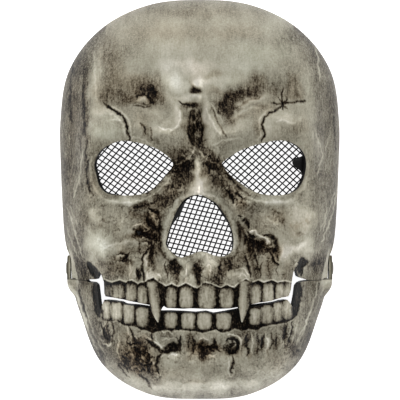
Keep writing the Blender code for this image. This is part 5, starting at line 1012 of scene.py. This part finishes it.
def wovenNet(row):
    # two families of parallel wires. A wire's height follows the shell's inside plus a cosine that goes once up
    # and down in two cells, so it passes over one crossing wire and under the next; its section is a polygon.
    shape = row["outline"] + outwards(row["outline"]) * netForm["overlap"]
    first, second = np.array(row["along"]), np.array(row["across"])
    middle = np.array(row["cell"]) + 0.5 * (first + second)
    places, faces, count = [], [], 0
    for run, other, phase, wire in ((first, second, 0, netForm["wires"][0]), (second, first, 1, netForm["wires"][1])):
        far = netForm["reach"] * netForm["perCell"]
        at = np.arange(-far, far + 1) / netForm["perCell"]
        for k in range(2 - netForm["reach"], netForm["reach"] - 1):
            x, y = (middle + other * k)[:, None] + run[:, None] * at
            held = signedDistance(shape, x, y) < 0
            if held.sum() < 3:
                continue
            ends = np.flatnonzero(held)
            part = slice(ends[0], ends[-1] + 1)
            x, y, u = x[part], y[part], at[part]
            spine = sheetPlace(x, y, netForm["seat"])
            spine[:, 2] += np.cos(np.pi * (u + k + phase)) * netForm["wave"]
            tangent = np.gradient(spine, axis=0)
            tangent /= np.linalg.norm(tangent, axis=1, keepdims=True)
            side = np.cross(tangent, (0.0, 0.0, 1.0))
            side /= np.linalg.norm(side, axis=1, keepdims=True)
            up = np.cross(side, tangent)
            n = netForm["sides"]
            turn = np.arange(n) / n * 2 * np.pi
            ring = (spine[:, None] + wire * (np.cos(turn)[None, :, None] * side[:, None]
                                             + np.sin(turn)[None, :, None] * up[:, None]))
            i = np.arange(len(spine) - 1)[:, None] * n
            j, nxt = np.arange(n)[None], (np.arange(n)[None] + 1) % n
            quads = np.stack([i + j, i + nxt, i + n + nxt, i + n + j], -1).reshape(-1, 4) + count
            places.append(ring.reshape(-1, 3))
            faces += quads.tolist()
            faces.append((count + np.arange(n))[::-1].tolist())
            faces.append((count + (len(spine) - 1) * n + np.arange(n)).tolist())
            count += len(spine) * n
    print("net", row["name"], sum(len(f) - 2 for f in faces), "triangles")
    return meshPiece("net_" + row["name"], np.concatenate(places), faces)


borderTable = asRows("name outline wide", [   # wide: how far the black edge shows, at turns from -180 by 30 degrees
    ("left", eyeOutlines["left"], (1.3, 1.2, 0.2, -0.8, -0.8, -0.8, -0.8, -0.8, -0.8, -0.8, -0.8, 0.6, 1.3)),
    ("right", eyeOutlines["right"], (-0.8, -0.8, -0.8, -0.8, -0.4, 0.4, 1.2, 0.6, -0.6, -0.8, -0.8, -0.8, -0.8)),
    ("nose", noseOutline, (0.5, 0.1, -0.2, -0.2, -0.2, 0.1, 0.5, 1.1, 0.7, -0.2, 1.2, 2.6, 0.5)),
])


def netBorder(row):
    # a flat black band along the opening's outline: from 2.4 mm outside it to the given width inside it
    shape = np.asarray(row["outline"])
    turn = np.degrees(np.arctan2(*(shape - (shape.min(0) + shape.max(0)) / 2).T[::-1]))
    wide = np.interp(turn, np.arange(-180, 181, 30), row["wide"])
    out = outwards(shape)
    corners = []
    for share, back in ((0.0, 2.5), (0.5, 2.4), (1.0, 2.5), (1.0, 3.2), (0.0, 3.2)):
        place = shape + out * (2.4 * share - (wide + 0.2) * (1 - share))[:, None]
        corners.append(sheetPlace(place[:, 0], place[:, 1], back))
    places = np.stack(corners, 1)
    n, m = places.shape[:2]
    i, j = np.arange(n)[:, None], np.arange(m)[None]
    quads = np.stack([i * m + j, i * m + (j + 1) % m, (i + 1) % n * m + (j + 1) % m, (i + 1) % n * m + j], -1)
    quads = quads.reshape(-1, 4)
    if turnsLeft(shape):
        quads = quads[:, ::-1]
    made = meshPiece("net_border_" + row["name"], places.reshape(-1, 3), quads)
    made.data.set_sharp_from_angle(angle=math.radians(40))
    return made


nets = {row["name"]: wovenNet(row) for row in netTable}
borders = {row["name"]: netBorder(row) for row in borderTable}


# Glue tab and rivets

glueForm = {"thick": 0.9, "seat": 2.6, "outline": closedCurve([
    (55.2, 22.2), (56.2, 24.2), (57.9, 24.7), (60.3, 25.3), (62.7, 26.8), (64.0, 23.3), (64.1, 17.3), (63.6, 12.0),
    (61.9, 13.1), (60.9, 15.8), (59.2, 17.6), (57.6, 18.5), (55.8, 20.0)], 6)}


def glueBlob():
    # a low dome over a drawn outline: place = middle + ring * (outline - middle), height = thick * (1 - ring^2)^0.5
    shape = np.array(glueForm["outline"])
    middle = shape.mean(0)
    turn, ring = np.zeros(len(shape)), np.linspace(0.02, 1, 12)
    x, y = (middle + ring[:, None, None] * (shape - middle)).transpose(2, 0, 1)
    dome = glueForm["thick"] * np.sqrt(np.clip(1 - ring**2, 0, 1))[:, None] * np.ones_like(turn)
    front = sheetPlace(x, y, glueForm["seat"] + 0.6)
    back = front - (0, 0, 1.2)
    front = front + dome[..., None] * (0, 0, 1)
    places = np.concatenate([front.reshape(-1, 3), back.reshape(-1, 3)])
    n, m = len(turn), len(ring)
    i, j = np.meshgrid(np.arange(m - 1), np.arange(n), indexing="ij")
    k = (j + 1) % n
    quads = np.stack([i * n + j, (i + 1) * n + j, (i + 1) * n + k, i * n + k], -1).reshape(-1, 4)
    under = quads[:, ::-1] + n * m
    last = (m - 1) * n
    edge = np.stack([last + np.arange(n), last + n * m + np.arange(n), last + n * m + (np.arange(n) + 1) % n,
                     last + (np.arange(n) + 1) % n], -1)
    faces = np.concatenate([quads, under, edge]).tolist() + [list(range(n)), [n * m + q for q in range(n)][::-1]]
    return meshPiece("glue_tab", places, faces)


rivetProfile = asRows("out radius", [
    (-0.85, 0.0), (-0.85, 3.1), (-0.7, 3.6), (-0.2, 3.8), (0.0, 3.75), (0.0, 2.0), (5.7, 2.0), (5.7, 3.75),
    (5.9, 3.8), (6.2, 3.5), (6.42, 2.8), (6.5, 1.6), (6.3, 1.1), (6.25, 0.0),
])


def turnedRivet(name, side):
    # the profile carried around the hinge's axis: place = (out, radius * cos, radius * sin)
    turn = np.linspace(0, 2 * np.pi, 33)[:-1]
    out = np.array([row["out"] for row in rivetProfile]) + hinge["lugOuter"] - maskForm["wall"] - 0.35
    radius = np.maximum([row["radius"] for row in rivetProfile], 0.02)
    x = side * out[:, None] * np.ones_like(turn)
    places = np.stack([x, hinge["y"] + radius[:, None] * np.cos(turn),
                       hinge["z"] + radius[:, None] * np.sin(turn)], -1)
    n, m = len(turn), len(out)
    i, j = np.meshgrid(np.arange(m - 1), np.arange(n), indexing="ij")
    k = (j + 1) % n
    quads = np.stack([i * n + j, i * n + k, (i + 1) * n + k, (i + 1) * n + j], -1).reshape(-1, 4)
    if side > 0:
        quads = quads[:, ::-1]
    caps = [list(range(n)), [(m - 1) * n + q for q in range(n)][::-1]]
    if side < 0:
        caps = [cap[::-1] for cap in caps]
    made = meshPiece(name, places.reshape(-1, 3), quads.tolist() + caps)
    made.data.set_sharp_from_angle(angle=math.radians(40))
    return made


glueTab = glueBlob()
rivets = {side: turnedRivet("rivet_head_" + side, sign) for side, sign in (("left", -1), ("right", 1))}
print("nets, glue and rivets made")


# Materials

class Wire:  # a socket that can be used in sums
    def __init__(self, paint, socket):
        self.paint, self.socket = paint, socket

    def maths(self, operation, *others, **settings):
        node = self.paint.node("ShaderNodeMath", {"operation": operation, **settings},
                               dict(enumerate((self,) + others)))
        return Wire(self.paint, node.outputs[0])

    def __add__(self, other): return self.maths("ADD", other)
    __radd__ = __add__
    def __mul__(self, other): return self.maths("MULTIPLY", other)
    __rmul__ = __mul__
    def __sub__(self, other): return self.maths("SUBTRACT", other)
    def __rsub__(self, other): return (self * -1) + other
    def clamped(self): return self.maths("ADD", 0.0, use_clamp=True)


class Paint:  # one material
    def __init__(self, name):
        self.material = bpy.data.materials.new(name)
        self.material.use_nodes = True
        self.tree = self.material.node_tree
        self.shader = self.tree.nodes["Principled BSDF"]

    def node(self, kind, settings=None, values=None):
        made = self.tree.nodes.new(kind)
        for key, value in (settings or {}).items():
            if key == "stops":
                ramp = made.color_ramp
                while len(ramp.elements) < len(value):
                    ramp.elements.new(0.5)
                for element, (place, colour) in zip(ramp.elements, value):
                    element.position, element.color = place, (*colour, 1.0)
            else:
                setattr(made, key, value)
        for key, value in (values or {}).items():
            if isinstance(value, Wire):
                self.tree.links.new(value.socket, made.inputs[key])
            else:
                made.inputs[key].default_value = value
        return made

    def out(self, node, name=0):
        return Wire(self, node.outputs[name])

    def attribute(self, name):
        return self.out(self.node("ShaderNodeAttribute", {"attribute_name": name}), "Fac")

    def noise(self, scale, detail=3.0, roughness=0.55, distortion=0.0):  # scale is (x, y, z) per metre
        place = self.out(self.node("ShaderNodeTexCoord"), "Object")
        mapped = self.out(self.node("ShaderNodeMapping", None, {"Vector": place, "Scale": scale}))
        return self.out(self.node("ShaderNodeTexNoise", None, {
            "Vector": mapped, "Scale": 1.0, "Detail": detail, "Roughness": roughness,
            "Distortion": distortion}), "Fac")

    def mix(self, share, first, second, blend="MIX"):
        node = self.node("ShaderNodeMix", {"data_type": "RGBA", "blend_type": blend})
        for key, value in ((0, share), (6, first), (7, second)):
            if isinstance(value, Wire):
                self.tree.links.new(value.socket, node.inputs[key])
            else:
                node.inputs[key].default_value = value
        return Wire(self, node.outputs[2])

    def set(self, **values):
        for key, value in values.items():
            name = {"baseColor": "Base Color", "coatWeight": "Coat Weight", "coatRoughness": "Coat Roughness"}.get(
                key, key[0].upper() + key[1:])
            if isinstance(value, Wire):
                self.tree.links.new(value.socket, self.shader.inputs[name])
            else:
                self.shader.inputs[name].default_value = value


def linear(red, green, blue):  # a display colour, 0 to 255, as the shader's own light values
    return tuple(round((c / 255 / 12.92) if c <= 10 else ((c / 255 + 0.055) / 1.055) ** 2.4, 4)
                 for c in (red, green, blue))


bonePaintForm = {
    "stops": [(0.0, linear(4, 3, 2)), (0.14, linear(32, 25, 18)), (0.32, linear(84, 77, 64)),
              (0.50, linear(136, 131, 115)), (0.68, linear(174, 170, 153)), (0.84, linear(200, 196, 181)),
              (1.0, linear(228, 225, 214))],
    "warm": (1.0, 0.86, 0.74, 1.0), "cool": (0.97, 1.0, 0.985, 1.0),
    "streak": 0.5, "short": 0.6, "speck": 0.55,  # how much each noise moves the tone
    "grain": 0.36, "darkGrain": 1.7,  # how much all of them move it: everywhere, and more where it is dark
    "mottle": 0.06, "metallic": 0.26, "roughness": 0.46,
}


def bonePaint(name):
    # silver-beige paint: tone picks a colour from dark wash and painted shade to rubbed paint and painted highlight,
    # fine brush streaks run up and down
    paint = Paint(name)
    streak = paint.noise((1250.0, 170.0, 300.0), 3.0)
    short = paint.noise((1000.0, 700.0, 700.0), 2.0)
    broad = paint.noise((260.0, 60.0, 90.0), 3.0)
    speck = paint.noise((1150.0, 1150.0, 1150.0), 2.0)
    plainTone = paint.attribute("tone")
    rough = (0.62 - plainTone).clamped() * bonePaintForm["darkGrain"] + bonePaintForm["grain"]
    tone = (plainTone + ((streak - 0.5) * bonePaintForm["streak"] + (short - 0.5) * bonePaintForm["short"]
                         + (speck - 0.5) * bonePaintForm["speck"]) * rough
            + (broad - 0.5) * bonePaintForm["mottle"]).clamped()
    ramp = paint.node("ShaderNodeValToRGB", {"stops": bonePaintForm["stops"]}, {"Fac": tone})
    tint = paint.attribute("tint")
    colour = paint.out(ramp, "Color")
    warm = paint.mix(1.0, colour, bonePaintForm["warm"], "MULTIPLY")
    cool = paint.mix(1.0, colour, bonePaintForm["cool"], "MULTIPLY")
    colour = paint.mix(tint.clamped(), colour, warm)
    colour = paint.mix((tint * -1).clamped(), colour, cool)
    height = streak * 0.5 + broad * 0.3 + speck * 0.35
    bump = paint.node("ShaderNodeBump", None, {"Strength": 0.35, "Distance": 0.0003, "Height": height})
    paint.set(baseColor=colour, metallic=tone * bonePaintForm["metallic"],
              roughness=(speck - 0.5) * 0.15 + (1 - tone) * 0.18 + (bonePaintForm["roughness"] - 0.09),
              normal=paint.out(bump))
    paint.shader.inputs["Specular IOR Level"].default_value = 0.05
    return paint.material


def blackPlastic(name, tone, roughness):
    paint = Paint(name)
    grainy = paint.noise((700.0, 700.0, 700.0), 3.0)
    broad = paint.noise((60.0, 60.0, 60.0), 2.0)
    colour = paint.mix(broad, (tone, tone, tone * 1.04, 1), (tone * 1.9, tone * 1.85, tone * 1.8, 1))
    bump = paint.node("ShaderNodeBump", None, {"Strength": 0.3, "Distance": 0.0002, "Height": grainy})
    paint.set(baseColor=colour, roughness=(grainy - 0.5) * 0.2 + roughness, normal=paint.out(bump))
    paint.shader.inputs["Specular IOR Level"].default_value = 0.3
    return paint.material


def dullSteel(name):
    paint = Paint(name)
    turned = paint.noise((300.0, 2200.0, 2200.0), 3.0)
    worn = paint.noise((500.0, 500.0, 500.0), 3.0)
    colour = paint.mix(worn, (0.22, 0.215, 0.205, 1), (0.42, 0.41, 0.39, 1))
    bump = paint.node("ShaderNodeBump", None, {"Strength": 0.25, "Distance": 0.0001, "Height": turned})
    paint.set(baseColor=colour, metallic=1.0, roughness=(worn - 0.5) * 0.2 + 0.38, normal=paint.out(bump))
    return paint.material


bone = {"skull": bonePaint("bone_paint_skull"), "jaw": bonePaint("bone_paint_jaw")}
wireLook = {name: blackPlastic("black_wire_" + name, 0.007, 0.45) for name in nets}
looks = asRows("piece look body node slot", [
    (skullFace, bone["skull"], "skull", "skull_shell", "bone_paint"),
    (skullBrow, bone["skull"], "skull", "skull_shell", "bone_paint"),
    (jawFace, bone["jaw"], "jaw", "jaw_shell", "bone_paint"),
    (skullInside, blackPlastic("black_plastic_skull", 0.006, 0.5), "skull", "skull_shell", "bone_paint"),
    (jawInside, blackPlastic("black_plastic_jaw", 0.006, 0.5), "jaw", "jaw_shell", "bone_paint"),
    (nets["left"], wireLook["left"], "skull", "eye_net_left", "black_net"),
    (nets["right"], wireLook["right"], "skull", "eye_net_right", "black_net"),
    (nets["nose"], wireLook["nose"], "skull", "nose_net", "black_net"),
    (borders["left"], wireLook["left"], "skull", "eye_net_left", "black_net"),
    (borders["right"], wireLook["right"], "skull", "eye_net_right", "black_net"),
    (borders["nose"], wireLook["nose"], "skull", "nose_net", "black_net"),
    (glueTab, blackPlastic("set_glue", 0.004, 0.3), "skull", "net_patch", "black_glue"),
    (rivets["left"], dullSteel("rivet_steel_left"), "skull", "rivet_left", "rivet_steel"),
    (rivets["right"], dullSteel("rivet_steel_right"), "skull", "rivet_right", "rivet_steel"),
])
for row in looks:
    row["piece"].data.materials.append(row["look"])
    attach(row["piece"], row["body"])
    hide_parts(row["node"])
print("materials set")


# Floor, light and camera

floorPlane = meshPiece("floor", [(-4000, -4000, -0.4), (4000, -4000, -0.4), (4000, 4000, -0.4), (-4000, 4000, -0.4)],
                       [(0, 1, 2, 3)], smooth=False)
floorPaint = Paint("white_floor")
floorGrain = floorPaint.noise((400.0, 400.0, 400.0), 2.0)
floorPaint.set(baseColor=floorPaint.mix(floorGrain, (0.93, 0.93, 0.93, 1), (0.96, 0.96, 0.96, 1)), roughness=0.8)
floorPaint.shader.inputs["Emission Color"].default_value = (1, 1, 1, 1)
floorPaint.shader.inputs["Emission Strength"].default_value = 1.0
floorPlane.data.materials.append(floorPaint.material)

lamps = asRows("name x y z aimX aimY aimZ wide high watts", [   # metres and watts
    ("lampAbove", -0.15, 0.55, 1.30, 0, 0, 0.05, 0.9, 0.9, 11.8),
    ("lampLeft", -1.10, 0.10, 0.55, 0, 0, 0.05, 0.25, 1.0, 1.2),
    ("lampRight", 1.10, 0.15, 0.55, 0, 0, 0.05, 0.25, 1.0, 1.1),
    ("lampBelow", 0.0, -1.0, 0.9, 0, 0, 0.05, 0.9, 0.4, 3),
])
for row in lamps:
    light = bpy.data.lights.new(row["name"], "AREA")
    light.shape, light.size, light.size_y, light.energy = "RECTANGLE", row["wide"], row["high"], row["watts"]
    lamp = bpy.data.objects.new(row["name"], light)
    lamp.location = (row["x"], row["y"], row["z"])
    aim = Vector((row["aimX"], row["aimY"], row["aimZ"])) - lamp.location
    lamp.rotation_euler = aim.to_track_quat("-Z", "Y").to_euler()
    bpy.context.scene.collection.objects.link(lamp)

world = bpy.data.worlds.new("studio")
world.use_nodes = True
world.node_tree.nodes["Background"].inputs["Color"].default_value = (1.0, 1.0, 0.98, 1)
world.node_tree.nodes["Background"].inputs["Strength"].default_value = 0.22
bpy.context.scene.world = world
bpy.context.scene.view_settings.view_transform = "Standard"

camera = bpy.data.objects.new("camera", bpy.data.cameras.new("camera"))
camera.location = (0.0002, -0.0006, 1.6)  # straight above the mask, which lies face up as it would by itself
camera.data.lens = 229.3
camera.data.sensor_width = 36.0
bpy.context.scene.collection.objects.link(camera)
bpy.context.scene.camera = camera
